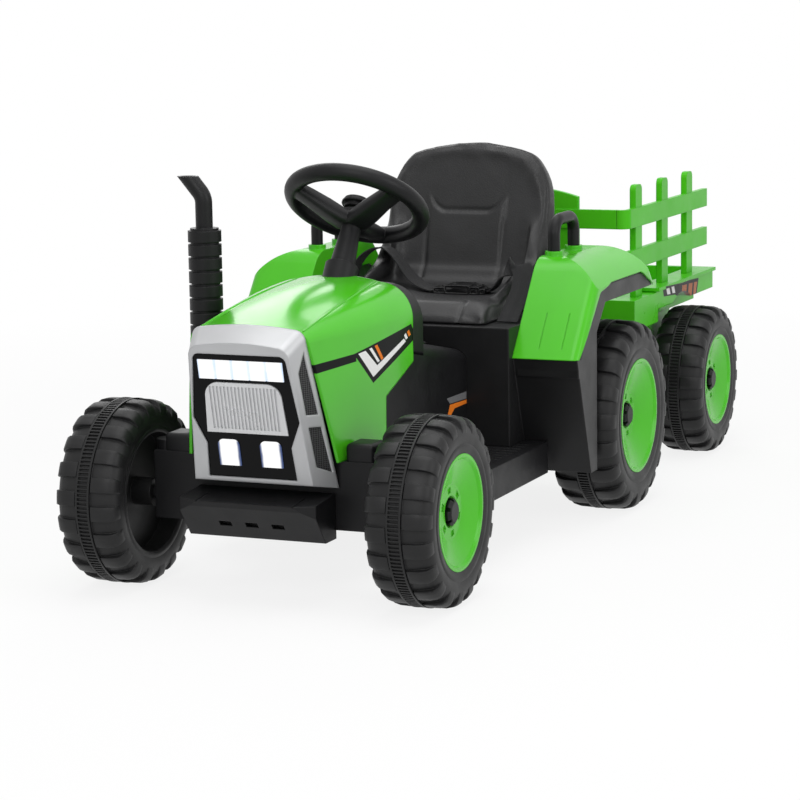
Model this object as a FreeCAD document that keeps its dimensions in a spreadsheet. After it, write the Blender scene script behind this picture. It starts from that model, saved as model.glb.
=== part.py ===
import FreeCAD, Part
import os
import Sketcher
from math import atan2, cos, degrees, radians, sin, sqrt, tan

# Ride-on electric tractor for a small child, with a towed trailer.
# +X is forward, +Y is the driver's left, +Z is up. The origin is on the ground, at the middle of the
# whole train, and every length is in millimetres.

Vector = FreeCAD.Vector
doc = FreeCAD.newDocument("ride_on_tractor")

# Driving dimensions: name, value, what it measures.
SIZES = (
    # Common to all mouldings
    ("wall", 3, "moulded wall thickness"),
    ("fit_gap", 0.3, "gap between pieces that move past each other"),
    ("running_gap", 0.05, "radial play of a shaft in its bore"),
    ("overrun", 6, "how far a cut runs past the face it enters"),
    # Layout of the train
    ("front_axle_x", 557.5, "front axle from the middle of the train"),
    ("wheelbase", 610, "front axle to rear axle"),
    ("hitch_reach", 168, "rear axle to hitch pin"),
    ("trailer_reach", 284.5, "hitch pin to trailer axle"),
    ("floor_top_z", 121, "top of the floor pan"),
    ("floor_plate", 6, "floor pan thickness"),
    # Wheels
    ("front_tyre_radius", 112.5, "front wheel over the tread"),
    ("front_tyre_width", 82, "front tyre width"),
    ("front_track_half", 199, "centre line to middle of front tyre"),
    ("front_rim_radius", 68.6, "front rim cover"),
    ("rear_tyre_radius", 129, "rear wheel over the tread"),
    ("rear_tyre_width", 93, "rear tyre width"),
    ("rear_wheel_gap", 8, "rear tyre from the side of the seat box"),
    ("rear_rim_radius", 77.3, "rear rim cover"),
    ("trailer_tyre_radius", 111, "trailer wheel over the tread"),
    ("trailer_tyre_width", 80, "trailer tyre width"),
    ("trailer_track_half", 196.5, "centre line to middle of trailer tyre"),
    ("trailer_rim_radius", 68, "trailer rim cover"),
    ("tread_band_width", 18, "ribbed band round the middle of the tread"),
    ("lug_height", 3.6, "tread lug above the groove"),
    ("lug_angle", 9, "angle that one lug covers"),
    ("lug_count", 20, "lugs on each shoulder"),
    ("hub_radius", 17, "moulded wheel hub"),
    ("hub_face_offset", 18, "hub outer face from the middle of the tyre"),
    ("hub_back_inset", 2, "hub inner end below the tyre's inner face"),
    ("web_offset", 8, "web of the wheel from the middle of the tyre, inwards"),
    ("web_wall", 5, "web thickness"),
    ("rim_wall", 3, "rim cover thickness"),
    ("rim_drop", 2.5, "rim lip below the tyre's outer face"),
    ("rim_lip", 4, "width of the rim lip"),
    ("rim_step", 3.5, "height of the step inside the lip"),
    ("rim_boss_radius", 30, "raised ring round the hub"),
    ("rim_boss_height", 4, "height of that ring"),
    ("rim_pocket_radius", 3.4, "moulded pocket in that ring"),
    ("rim_pocket_count", 6, "pockets in that ring"),
    ("cap_radius", 16, "hub cap"),
    ("cap_height", 9.5, "hub cap height"),
    ("cap_notch_radius", 3.4, "notch in the hub cap's edge"),
    ("cap_notch_count", 6, "notches round the hub cap"),
    ("nut_radius", 8.5, "axle nut"),
    ("nut_height", 6, "axle nut height"),
    ("nut_room", 1.6, "clearance round the axle nut"),
    ("front_axle_radius", 5, "front stub axle"),
    ("rear_axle_radius", 6, "rear axle rod"),
    ("trailer_axle_radius", 5, "trailer axle rod"),
    ("axle_tip", 2, "axle end past its nut"),
    ("collar_radius", 9, "shoulder that locates a wheel"),
    # Front axle beam and knuckles
    ("beam_front_reach", 21, "beam front wall from the axle"),
    ("beam_rear_reach", 34.5, "beam rear wall from the axle"),
    ("beam_half", 150, "half length of the beam"),
    ("beam_top_z", 168, "top of the beam"),
    ("beam_bottom_z", 86, "bottom of the beam's walls"),
    ("beam_plate", 6, "beam top plate"),
    ("beam_wall", 4, "beam walls"),
    ("beam_rear_half", 112, "half length of the rear wall"),
    ("beam_notch_half", 32, "half width of the steering notch in the rear wall"),
    ("kingpin_y", 138, "kingpin from the centre line"),
    ("kingpin_radius", 6, "kingpin"),
    ("kingpin_cap_radius", 17, "raised cap over the kingpin"),
    ("kingpin_cap_height", 12, "height of that cap"),
    ("kingpin_lug", 6, "lower kingpin lug thickness"),
    ("kingpin_lug_half", 18, "half width of the lower lug"),
    ("knuckle_radius", 13, "knuckle barrel"),
    ("knuckle_arm", 45.5, "kingpin to tie rod pin"),
    ("knuckle_arm_half", 9, "half width of the knuckle arm"),
    ("knuckle_arm_plate", 7, "knuckle arm thickness"),
    ("knuckle_arm_lift", 2, "knuckle arm above the lower lug"),
    # Steering
    ("steering_x", 304.5, "middle of the steering wheel"),
    ("steering_z", 442, "middle of the steering wheel"),
    ("column_tilt", 33.7, "steering axis from upright, degrees"),
    ("steering_ring_radius", 84.6, "steering wheel at the middle of its grip"),
    ("steering_grip_radius", 10, "grip of the steering wheel"),
    ("steering_hub_radius", 25, "steering wheel hub"),
    ("steering_hub_top", 6, "hub top below the ring"),
    ("steering_hub_height", 28, "steering hub"),
    ("spoke_half", 11, "half width of a spoke at the ring"),
    ("spoke_hub_half", 15, "half width of a spoke at the hub"),
    ("spoke_plate", 9, "spoke thickness"),
    ("spoke_count", 3, "spokes"),
    ("horn_radius", 17, "horn button"),
    ("horn_height", 8, "horn button"),
    ("horn_proud", 3.5, "horn button above the hub"),
    ("horn_travel", 3, "horn button travel"),
    ("shaft_radius", 6, "steering shaft"),
    ("shaft_seat", 14, "shaft end inside the hub"),
    ("shaft_room", 1.5, "clearance round the steering shaft"),
    ("crank_reach", 30, "steering crank"),
    ("crank_half", 8, "half width of the crank"),
    ("crank_plate", 8, "crank thickness"),
    ("crank_lift", 12, "crank above the tie rod along the shaft"),
    ("crank_pin_radius", 4, "crank pin"),
    ("crank_pin_tail", 9, "crank pin below the tie rod"),
    ("tie_rod_plate", 6, "tie rod thickness"),
    ("tie_rod_half", 9, "half width of the tie rod"),
    ("tie_rod_end", 13, "tie rod past its pin"),
    ("tie_rod_pin_radius", 3.5, "tie rod pins"),
    ("tie_pin_play", 0.8, "side play of a tie rod pin in its slot"),
    ("crank_pin_play", 1.2, "side play of the crank pin in its slot"),
    ("crank_slot_room", 7.5, "end play of the crank pin in its slot"),
    ("column_foot_drop", 88, "column foot below the ring along the shaft"),
    ("column_foot_radius", 15.5, "column at its foot"),
    ("column_head_radius", 12.5, "column at its head"),
    # Nose: grille surround, panel and lamps
    ("nose_x", 615, "foot of the nose's front face"),
    ("nose_z", 144, "foot of the nose's front face"),
    ("nose_lean", 12, "forward lean of the nose, degrees"),
    ("nose_height", 168, "front face along its lean"),
    ("nose_depth", 32, "nose front to hood"),
    ("nose_foot_half", 76, "half width at the foot of the front face"),
    ("nose_head_half", 64, "half width at the head of the front face"),
    ("nose_back_foot_half", 94, "half width at the foot of the back"),
    ("nose_back_head_half", 73, "half width at the head of the back"),
    ("nose_back_drop", 14, "back reaches below the front face"),
    ("nose_back_rise", 12, "back reaches above the front face"),
    ("nose_corner", 14, "upper corner radius of the nose"),
    ("nose_crown", 4, "rise of the nose's upper edge at the middle"),
    ("nose_wall", 4, "surround wall"),
    ("panel_inset", 2.5, "grille panel behind the surround's face"),
    ("panel_plate", 6, "grille panel thickness"),
    ("panel_foot_half", 57, "panel half width at its foot"),
    ("panel_waist_half", 54.5, "panel half width at its waist"),
    ("panel_hip_half", 68.5, "panel half width above its waist"),
    ("panel_head_half", 60, "panel half width at its head"),
    ("panel_foot_v", 5, "panel foot up the front face"),
    ("panel_waist_v", 46, "panel waist up the front face"),
    ("panel_hip_v", 78, "panel hip up the front face"),
    ("panel_head_v", 158, "panel head up the front face"),
    ("panel_corner", 9, "panel upper corner radius"),
    ("pocket_depth", 2.5, "pockets for the lamps in the panel"),
    ("bar_half", 54, "light bar half width"),
    ("bar_foot_v", 127, "light bar foot up the front face"),
    ("bar_height", 23, "light bar height"),
    ("bar_plate", 4, "light bar thickness"),
    ("bar_segments", 5, "segments of the light bar"),
    ("bar_groove", 1.6, "groove between segments"),
    ("radiator_foot_half", 52, "radiator insert half width at its foot"),
    ("radiator_head_half", 49, "radiator insert half width at its head"),
    ("radiator_foot_v", 61, "radiator insert foot up the front face"),
    ("radiator_height", 62, "radiator insert height"),
    ("radiator_plate", 4.5, "radiator insert thickness"),
    ("radiator_corner", 18, "radiator insert upper corner radius"),
    ("radiator_frame", 5, "plain frame round the ribs"),
    ("radiator_ribs", 19, "grooves of the radiator insert"),
    ("radiator_groove", 2.4, "groove width"),
    ("radiator_groove_depth", 2, "groove depth"),
    ("lamp_u", 27, "headlight from the centre line"),
    ("lamp_foot_v", 20, "headlight foot up the front face"),
    ("lamp_width", 27, "headlight width"),
    ("lamp_height", 32, "headlight height"),
    ("lamp_corner", 7, "headlight corner radius"),
    ("lamp_plate", 4.5, "headlight thickness"),
    ("vent_inset", 2, "vent mesh below the surround's side"),
    ("vent_plate", 5, "vent mesh thickness"),
    # Hood
    ("hood_rear_x", 365, "rear edge of the hood"),
    ("hood_bottom_z", 168, "lower edge of the hood at the front"),
    ("hood_front_half", 95, "hood half width at the front, lower edge"),
    ("hood_rear_half", 106, "hood half width at the rear, lower edge"),
    ("hood_front_top_z", 328, "hood top at the front"),
    ("hood_rear_top_z", 360, "hood top at the rear"),
    ("hood_crown", 7, "hood top above its upper edges"),
    ("hood_front_corner", 12, "upper corner radius at the front"),
    ("hood_rear_corner", 46, "upper corner radius at the rear"),
    ("hood_front_head_half", 74, "half width of the hood's top at the front"),
    ("hood_rear_head_half", 104, "half width of the hood's side at its top, rear"),
    ("hood_cut_top_z", 258, "upper end of the rear side cut"),
    ("hood_cut_low_z", 226, "knee of the rear side cut"),
    ("hood_cut_rear_x", 377, "rear end of the side cut"),
    ("hood_cut_knee_x", 456, "knee of the rear side cut"),
    ("hood_cut_front_x", 463, "foot of the rear side cut"),
    ("hood_rear_lean", 12, "hood's rear edge leans back to its top"),
    # Dashboard
    ("dash_rear_x", 330, "face of the dashboard towards the driver"),
    ("dash_lap", 16, "dashboard reaches under the hood"),
    ("dash_boss_radius", 21, "boss that carries the column"),
    ("dash_drop", 12, "dashboard top below the hood's top"),
    ("power_radius", 9, "power button"),
    ("power_y", 55, "power button from the centre line"),
    ("power_z", 318, "power button height"),
    ("power_proud", 4.5, "power button out of the panel"),
    ("power_travel", 2.5, "power button travel"),
    ("power_length", 12, "power button length"),
    ("switch_radius", 11, "direction rocker"),
    ("switch_y", -55, "direction rocker from the centre line"),
    ("switch_width", 17, "direction rocker width"),
    ("switch_sink", 6, "rocker axis behind the panel"),
    ("switch_face_angle", 14, "slope of each half of the rocker, degrees"),
    # Floor pan and tunnel
    ("footboard_half", 190, "footboard outer edge"),
    ("footboard_front_x", 402, "footboard front edge"),
    ("footboard_corner", 30, "footboard front corner"),
    ("skirt_drop", 41, "footboard skirt"),
    ("skirt_wall", 5, "footboard skirt thickness"),
    ("groove_width", 5, "foot grip groove"),
    ("groove_depth", 1.8, "foot grip groove"),
    ("groove_pitch", 16, "foot grip groove spacing"),
    ("groove_count", 9, "foot grip grooves a side"),
    ("groove_margin", 14, "plain edge of the foot grip"),
    ("pan_rear_x", -172, "rear end of the floor pan"),
    ("pan_inset", 7, "floor pan between the rear wheels from the side of the seat box"),
    ("tunnel_half", 98, "tunnel half width"),
    ("tunnel_rear_top_z", 246, "tunnel top at the seat box"),
    ("tunnel_peak_x", 375, "tunnel's highest point"),
    ("tunnel_peak_z", 283, "tunnel's highest point"),
    ("tunnel_flat", 25, "level stretch in front of the peak"),
    ("tunnel_front_x", 470, "tunnel front end"),
    ("tunnel_front_z", 222, "tunnel top at its front end"),
    ("tunnel_corner", 16, "tunnel upper edges"),
    ("rail_inner", 36, "chassis rail inner face"),
    ("rail_outer", 74, "chassis rail outer face"),
    ("rail_bottom_z", 90, "chassis rail"),
    ("rail_top_z", 150, "chassis rail"),
    # Rear body and fenders
    ("box_front_x", 187, "front wall of the seat box"),
    ("box_rear_x", -178, "rear wall of the seat box"),
    ("box_half", 157, "seat box half width"),
    ("box_top_z", 275, "top of the seat box"),
    ("box_back_drop", 40, "rear upper chamfer of the seat box"),
    ("panel_low_z", 80, "lower edge of the side panel"),
    ("panel_low_x", 120, "front of the side panel at its lower edge"),
    ("panel_rear_x", 95, "rear of the side panel"),
    ("well_roof_z", 297, "roof over the rear wheel"),
    ("well_knee_z", 262, "where the roof meets the side panel"),
    ("well_knee_x", 60, "where the roof starts"),
    ("fender_outer", 248, "outer face of the fender"),
    ("fender_front_x", 176, "lower front edge of the fender"),
    ("fender_front_z", 235, "lower front edge of the fender"),
    ("fender_knee_x", 80, "front end of the fender's top"),
    ("fender_top_z", 356, "top of the fender"),
    ("fender_tail_knee_x", -96, "rear end of the fender's top"),
    ("fender_tail_x", -152, "rear edge of the fender"),
    ("fender_skirt", 35, "outer skirt of the fender"),
    ("fender_lip", 8, "depth of the fender at its lower front edge"),
    ("fender_edge", 13, "rounding of the fender's long edges"),
    ("fender_crown_offset", 33, "seat box to where the fender's top starts to fall outwards"),
    ("fender_crown_radius", 78, "curve of the fender's top across its width"),
    ("fender_shoulder_z", 318, "outer end of that curve"),
    ("fender_knee_radius", 42, "rounding of the fender's front knee"),
    ("fender_crease_width", 4, "crease in the fender's front slope"),
    ("fender_crease_depth", 1.4, "crease depth"),
    ("handle_offset", 15, "grab handle from the side of the seat box"),
    ("handle_front_x", 54, "front foot of the grab handle"),
    ("handle_rear_x", -23, "rear foot of the grab handle"),
    ("handle_top_z", 402, "middle of the handle's bar"),
    ("handle_radius", 8, "grab handle tube"),
    ("handle_bend", 20, "bend of the grab handle"),
    ("socket_radius", 12, "socket of the grab handle"),
    ("socket_height", 6, "socket of the grab handle"),
    # Seat and belt
    ("seat_front_x", 172, "front of the cushion"),
    ("seat_inset", 38, "cushion from the side of the seat box"),
    ("seat_lip_height", 14, "front lip of the cushion"),
    ("seat_rise", 26, "cushion top above the seat box"),
    ("seat_back_foot_x", -35, "foot of the backrest's face"),
    ("seat_back_lean", 14.5, "backrest lean, degrees"),
    ("seat_back_height", 217, "backrest along its face"),
    ("seat_back_plate", 38, "backrest thickness"),
    ("seat_back_inset", 32, "backrest from the side of the seat box"),
    ("seat_head_inset", 33, "upper corners of the backrest from its widest part"),
    ("seat_back_crown", 15, "rise of the backrest's upper edge"),
    ("seat_rim", 15, "rim round the backrest's face"),
    ("seat_rim_depth", 6, "backrest face behind its rim"),
    ("seat_edge", 9, "rounding of the seat's edges"),
    ("wing_width", 22, "side bolster"),
    ("wing_front_x", 98, "front end of the side bolster"),
    ("wing_height", 92, "side bolster above the cushion"),
    ("strap_width", 28, "belt webbing"),
    ("strap_plate", 2, "belt webbing thickness"),
    ("strap_x", 58, "middle of the belt"),
    ("strap_inset", 23, "belt anchor from the side of the seat box"),
    ("strap_arch", 78, "top of the belt's arch above the seat box"),
    ("strap_bend", 22, "belt bend"),
    ("strap_lift", 0.6, "belt above the cushion"),
    ("buckle_gap", 2.2, "buckle from the belt's bend"),
    ("buckle_length", 74, "buckle"),
    ("buckle_width", 36, "buckle"),
    ("buckle_height", 13, "buckle"),
    ("buckle_edge", 4, "buckle rounding"),
    # Exhaust
    ("stack_x", 462, "exhaust stack"),
    ("stack_y", -134, "exhaust stack"),
    ("stack_foot_z", 240, "foot of the stack"),
    ("stack_top_z", 424, "top of the ribbed stack"),
    ("stack_radius", 20.5, "ribs of the stack"),
    ("stack_groove", 3, "groove between ribs"),
    ("stack_ribs", 11, "ribs of the stack"),
    ("elbow_radius", 12, "stack's arm to the hood"),
    ("elbow_z", 264, "stack's arm to the hood"),
    ("pipe_radius", 10.5, "exhaust pipe"),
    ("pipe_bore", 7.5, "mouth of the exhaust pipe"),
    ("pipe_bend_z", 462, "where the pipe turns"),
    ("pipe_reach", 17, "how far the pipe leans out"),
    ("pipe_top_z", 492, "tip of the pipe"),
    ("pipe_mouth_depth", 14, "depth of the pipe's mouth"),
    # Bumper
    ("bumper_half", 88, "bumper half width"),
    ("bumper_middle_half", 62, "bumper's middle section half width"),
    ("bumper_front_x", 643, "bumper front"),
    ("bumper_top_z", 124, "bumper front edge"),
    ("bumper_nose", 7, "bumper front face"),
    ("bumper_bottom_z", 76, "bumper bottom"),
    ("bumper_chin_x", 608, "front of the bumper's bottom"),
    ("bumper_rise", 6, "bumper top rises to its back"),
    ("bumper_corner", 9, "bumper corners set back"),
    ("bumper_seam", 1.2, "seam beside the middle section"),
    ("bumper_slot_width", 16, "slot in the bumper's chin"),
    ("bumper_slot_height", 6, "slot in the bumper's chin"),
    ("bumper_slot_y", 34, "slot spacing"),
    ("bumper_slot_depth", 8, "slot in the bumper's chin"),
    # Pedal
    ("pedal_x", 326, "pedal hinge"),
    ("pedal_y", -137, "middle of the pedal"),
    ("pedal_lift", 9, "pedal hinge above the floor"),
    ("pedal_width", 48, "pedal"),
    ("pedal_length", 62, "pedal"),
    ("pedal_plate", 5, "pedal thickness"),
    ("pedal_rise", 24, "pedal slope, degrees"),
    ("pedal_barrel", 5.5, "pedal hinge barrel radius"),
    ("pedal_pin_radius", 3, "pedal pin"),
    ("pedal_pin", 5, "pedal pin length"),
    ("pedal_ear", 6, "pedal ear thickness"),
    ("pedal_ear_half", 8, "half length of a pedal ear"),
    ("pedal_ribs", 5, "ribs on the pedal"),
    ("pedal_rib_height", 1.6, "ribs on the pedal"),
    ("pedal_rib_width", 4, "ribs on the pedal"),
    # Drive
    ("battery_front_x", 168, "battery"),
    ("battery_length", 150, "battery"),
    ("battery_width", 96, "battery"),
    ("battery_height", 94, "battery"),
    ("terminal_radius", 5, "battery terminal"),
    ("terminal_height", 6, "battery terminal"),
    ("control_front_x", -88, "control box"),
    ("control_length", 66, "control box"),
    ("control_width", 84, "control box"),
    ("control_height", 34, "control box"),
    ("gearbox_front_reach", 58, "gearbox in front of the axle"),
    ("gearbox_rear_reach", 34, "gearbox behind the axle"),
    ("gearbox_width", 43, "gearbox"),
    ("gearbox_gap", 3, "gearbox from the wall of the seat box"),
    ("gearbox_top_z", 190, "gearbox"),
    ("motor_radius", 19, "drive motor"),
    ("motor_length", 52, "drive motor"),
    ("motor_reach", 34, "motor in front of the axle"),
    ("motor_lift", 32, "motor above the floor"),
    ("sleeve_radius", 13, "drive sleeve"),
    ("axle_room", 1, "clearance round the drive sleeve"),
    # Tow hitch and trailer
    ("hitch_z", 150, "middle of the drawbar eye"),
    ("eye_plate", 12, "drawbar eye thickness"),
    ("eye_radius", 18, "drawbar eye"),
    ("fork_plate", 8, "hitch fork thickness"),
    ("fork_half", 20, "hitch fork half width"),
    ("fork_root", 16, "hitch fork root"),
    ("pin_radius", 6, "hitch pin"),
    ("pin_tail", 4, "hitch pin below the fork"),
    ("pin_head_radius", 12, "hitch pin head"),
    ("pin_head", 5, "hitch pin head"),
    ("pin_grip_radius", 5, "hitch pin grip"),
    ("pin_grip", 16, "hitch pin grip"),
    ("bar_width_half", 19, "drawbar half width"),
    ("bar_bend_x", -252, "where the drawbar starts to rise"),
    ("bar_top_bend_x", -318, "where the drawbar levels out"),
    ("bar_rear_x", -470, "rear end of the drawbar"),
    ("bed_front_x", -272, "trailer bed front"),
    ("bed_length", 396, "trailer bed"),
    ("bed_half", 177, "trailer bed half width"),
    ("bed_bottom_z", 212, "trailer bed underside"),
    ("bed_front_top_z", 256, "trailer bed front edge"),
    ("bed_top_z", 263, "trailer bed edge over the wheels"),
    ("bed_floor", 5, "trailer bed floor"),
    ("bed_rim", 26, "width of the trailer bed's edge"),
    ("bed_end_wall", 10, "trailer bed rear wall"),
    ("bed_lip", 5, "lip round the upper edge"),
    ("bed_lip_height", 5, "lip round the upper edge"),
    ("pod_front_x", -384, "front of the wheel arch panel"),
    ("pod_slope", 10, "slope of the arch panel's front"),
    ("pod_bottom_z", 231, "lower edge of the arch panel"),
    ("tub_half", 146, "trailer bed between the wheels"),
    ("arch_rise", 12, "arch over the trailer wheel"),
    ("arch_half", 46, "arch over the trailer wheel"),
    ("leg_inner", 112, "axle leg inner face"),
    ("leg_outer", 140, "axle leg outer face"),
    ("leg_head_half", 56, "axle leg at the bed"),
    ("leg_foot_half", 19, "axle leg at the axle"),
    ("fence_plate", 8, "fence board thickness"),
    ("fence_half", 167, "fence outer face"),
    ("fence_front_x", -274, "front fence outer face"),
    ("fence_rear_x", -670, "rear end of the side boards"),
    ("fence_corner", 15, "fence corner"),
    ("fence_seam_y", 149, "seam between front and side boards"),
    ("seam_gap", 0.6, "seam between front and side boards"),
    ("board_height", 27.5, "fence board"),
    ("board_top_z", 386, "top of the upper board"),
    ("board_drop", 60, "upper board to lower board"),
    ("post_width", 30, "fence post"),
    ("post_plate", 9, "fence post thickness"),
    ("post_set_back", 2, "fence post behind the boards"),
    ("post_top_z", 419, "top of a fence post"),
    ("post_corner", 9, "rounded top of a fence post"),
    ("post_front_x", -330, "first fence post"),
    ("post_pitch", 126, "fence post spacing"),
    ("post_count", 3, "fence posts a side"),
    ("middle_half", 90, "front fence middle board half width"),
    ("middle_shoulder_z", 404, "front fence middle board shoulder"),
    ("middle_top_z", 418, "front fence middle board top"),
)

sheet = doc.addObject("Spreadsheet::Sheet", "Sizes")
for row, (alias, number, words) in enumerate(SIZES, 1):
    sheet.set(f"A{row}", words)
    sheet.set(f"B{row}", str(number))
    sheet.setAlias(f"B{row}", alias)
doc.recompute()


class Size:
    """A number that carries the spreadsheet expression it comes from."""

    def __init__(self, value, text):
        self.value = value
        self.text = text

    def __add__(self, other):
        other = as_size(other)
        return Size(self.value + other.value, f"({self.text} + {other.text})")

    def __sub__(self, other):
        other = as_size(other)
        return Size(self.value - other.value, f"({self.text} - {other.text})")

    def __mul__(self, other):
        other = as_size(other)
        return Size(self.value * other.value, f"({self.text} * {other.text})")

    def __truediv__(self, other):
        other = as_size(other)
        return Size(self.value / other.value, f"({self.text} / {other.text})")

    def __rsub__(self, other):
        return as_size(other) - self

    def __neg__(self):
        return Size(-self.value, f"(-1 * {self.text})")

    __radd__ = __add__
    __rmul__ = __mul__


def as_size(item):
    return item if isinstance(item, Size) else Size(float(item), repr(float(item)))


class Sheet:
    """Reads a driving dimension by its alias."""

    def __getattr__(self, alias):
        return Size(float(sheet.get(alias)), f"Sizes.{alias}")


D = Sheet()
ZERO = Size(0.0, "0")
# How close two points are when they count as one
NEAR = 1e-6
NODES = {}
LYING_ALONG = {
    "X": FreeCAD.Rotation(Vector(0, 1, 0), 90),
    "Y": FreeCAD.Rotation(Vector(-1, 0, 0), 90),
    "Z": FreeCAD.Rotation(),
}
DRAWN_ON = {
    "XY": FreeCAD.Rotation(),
    "XZ": FreeCAD.Rotation(Vector(1, 0, 0), Vector(0, 0, 1), Vector(0, -1, 0), "XYZ"),
    "YZ": FreeCAD.Rotation(Vector(0, 1, 0), Vector(0, 0, 1), Vector(1, 0, 0), "XYZ"),
}


def cos_of(angle):
    """Cosine of an angle in degrees, still tied to the sheet."""
    return Size(cos(radians(angle.value)), f"cos({angle.text} * 1 deg)")


def sin_of(angle):
    """Sine of an angle in degrees, still tied to the sheet."""
    return Size(sin(radians(angle.value)), f"sin({angle.text} * 1 deg)")


def bind(item, name, length):
    """Sets a property and ties it to the sheet."""
    length = as_size(length)
    item.setExpression(name, length.text)


def place(item, x=ZERO, y=ZERO, z=ZERO, turn=None):
    """Puts an object at a point tied to the sheet, turned if asked."""
    point = [as_size(value) for value in (x, y, z)]
    item.Placement = FreeCAD.Placement(Vector(*[value.value for value in point]), turn or FreeCAD.Rotation())
    for axis, value in zip("xyz", point):
        item.setExpression(f"Placement.Base.{axis}", value.text)
    return item


def node(label, item):
    """Names a finished piece."""
    item.Label = label
    NODES[label] = item
    return item


def arc_between(start, end, radius, side):
    """An arc from start to end, with its middle on the left (side 1) or right (side -1)."""
    middle = (start + end) / 2
    half = (end - start).Length / 2
    rise = sqrt(max(radius ** 2 - half ** 2, 0))
    across = Vector(start.y - end.y, end.x - start.x) / (2 * half)
    centre = middle + across * rise * side
    first, last = (start, end) if side > 0 else (end, start)
    begin = atan2(first.y - centre.y, first.x - centre.x)
    finish = atan2(last.y - centre.y, last.x - centre.x)
    return Part.ArcOfCircle(Part.Circle(centre, Vector(0, 0, 1), radius), begin, finish)


def draw(sketch, points, arcs=None):
    """Draws a closed outline. arcs maps a stretch's index to its radius and the side of its middle."""
    arcs = arcs or {}
    points = [(as_size(across), as_size(up)) for across, up in points]
    ends = []
    for index, (across, up) in enumerate(points):
        start = Vector(across.value, up.value)
        following = points[(index + 1) % len(points)]
        end = Vector(following[0].value, following[1].value)
        if index in arcs:
            radius, side = arcs[index]
            sketch.addGeometry(arc_between(start, end, as_size(radius).value, side))
            ends.append((1, 2) if side > 0 else (2, 1))
        else:
            sketch.addGeometry(Part.LineSegment(start, end))
            ends.append((1, 2))
    rules, ties = [], []
    for index, (across, up) in enumerate(points):
        after = (index + 1) % len(points)
        rules.append(Sketcher.Constraint("Coincident", index, ends[index][1], after, ends[after][0]))
        for kind, length in (("DistanceX", across), ("DistanceY", up)):
            ties.append((len(rules), length))
            rules.append(Sketcher.Constraint(kind, index, ends[index][0], length.value))
        if index in arcs:
            radius = as_size(arcs[index][0])
            ties.append((len(rules), radius))
            rules.append(Sketcher.Constraint("Radius", index, radius.value))
    sketch.addConstraint(rules)
    for index, length in ties:
        sketch.setExpression(f"Constraints[{index}]", length.text)
    return sketch


def free_sketch(name, plane, level, points, arcs=None):
    """An outline on a plane of the train, at a level along that plane's normal axis."""
    sketch = doc.addObject("Sketcher::SketchObject", name)
    where = {"XY": (ZERO, ZERO, level), "XZ": (ZERO, level, ZERO), "YZ": (level, ZERO, ZERO)}[plane]
    place(sketch, *where, turn=DRAWN_ON[plane])
    return draw(sketch, points, arcs)


def prism(name, plane, points, low, high, arcs=None):
    """An outline carried straight from low to high along its plane's normal axis."""
    low, high = as_size(low), as_size(high)
    sketch = free_sketch(f"{name}_outline", plane, high if plane == "XZ" else low, points, arcs)
    solid = doc.addObject("Part::Extrusion", name)
    solid.Base = sketch
    solid.DirMode = "Normal"
    solid.Solid = True
    bind(solid, "LengthFwd", high - low)
    return solid


def box(name, x, y, z):
    """A box between pairs of limits."""
    solid = doc.addObject("Part::Box", name)
    for side, (low, high) in zip(("Length", "Width", "Height"), (x, y, z)):
        bind(solid, side, as_size(high) - low)
    return place(solid, x[0], y[0], z[0])


def rod(name, radius, axis, low, high, at):
    """A cylinder along an axis from low to high; at gives its other two coordinates in order."""
    solid = doc.addObject("Part::Cylinder", name)
    low, high = as_size(low), as_size(high)
    bind(solid, "Radius", radius)
    bind(solid, "Height", high - low)
    where = {"X": (low, *at), "Y": (at[0], low, at[1]), "Z": (*at, low)}[axis]
    return place(solid, *where, turn=LYING_ALONG[axis])


def fuse(name, *items):
    solid = doc.addObject("Part::MultiFuse", name)
    solid.Shapes = list(items)
    solid.Refine = True
    return solid


def cut(name, base, *tools):
    tool = tools[0] if len(tools) == 1 else fuse(f"{name}_tool", *tools)
    solid = doc.addObject("Part::Cut", name)
    solid.Base = base
    solid.Tool = tool
    return solid


def common(name, first, second):
    solid = doc.addObject("Part::Common", name)
    solid.Base = first
    solid.Tool = second
    return solid


def group(name, *items):
    solid = doc.addObject("Part::Compound", name)
    solid.Links = list(items)
    return solid


def loft(name, sections, ruled=False):
    solid = doc.addObject("Part::Loft", name)
    solid.Sections = sections
    solid.Solid = True
    solid.Ruled = ruled
    return solid


def mirrored(name, source):
    """The same piece on the other side of the train's middle plane."""
    solid = doc.addObject("Part::Mirroring", name)
    solid.Source = source
    solid.Normal = Vector(0, 1, 0)
    return solid


def runs_along(edge, axis):
    if edge.Curve.TypeId != "Part::GeomLine":
        return False
    return abs(edge.Curve.Direction.dot(axis)) > 0.999


def rounded(name, base, radius, chosen):
    """Rounds the edges of a piece that a test chooses."""
    doc.recompute()
    edges = []
    for index, edge in enumerate(base.Shape.Edges, 1):
        if chosen(edge):
            edges.append((index, radius.value, radius.value))
    solid = doc.addObject("Part::Fillet", name)
    solid.Base = base
    solid.Edges = edges
    return solid


def upper_edges(level, under_line):
    """A test for edges of the face at a level along Y that have an end off the line given."""
    def test(edge):
        ends = [vertex.Point for vertex in edge.Vertexes]
        if any(abs(point.y - level.value) > NEAR for point in ends):
            return False
        return any(all(abs(point.x - x.value) + abs(point.z - z.value) > NEAR for x, z in under_line)
                   for point in ends)
    return test


def cross_edges(level):
    """A test for edges along Y at a height."""
    def test(edge):
        return runs_along(edge, Vector(0, 1, 0)) and abs(edge.CenterOfMass.z - level.value) < NEAR
    return test


def on_column(name, radius, length):
    """A cylinder down the steering axis, from the foot of the column."""
    solid = doc.addObject("Part::Cylinder", name)
    bind(solid, "Radius", radius)
    bind(solid, "Height", length)
    drop = D.column_foot_drop + length
    return place(solid, D.steering_x + drop * sin_of(D.column_tilt), ZERO,
                 D.steering_z - drop * cos_of(D.column_tilt), COLUMN_TURN)


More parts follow.
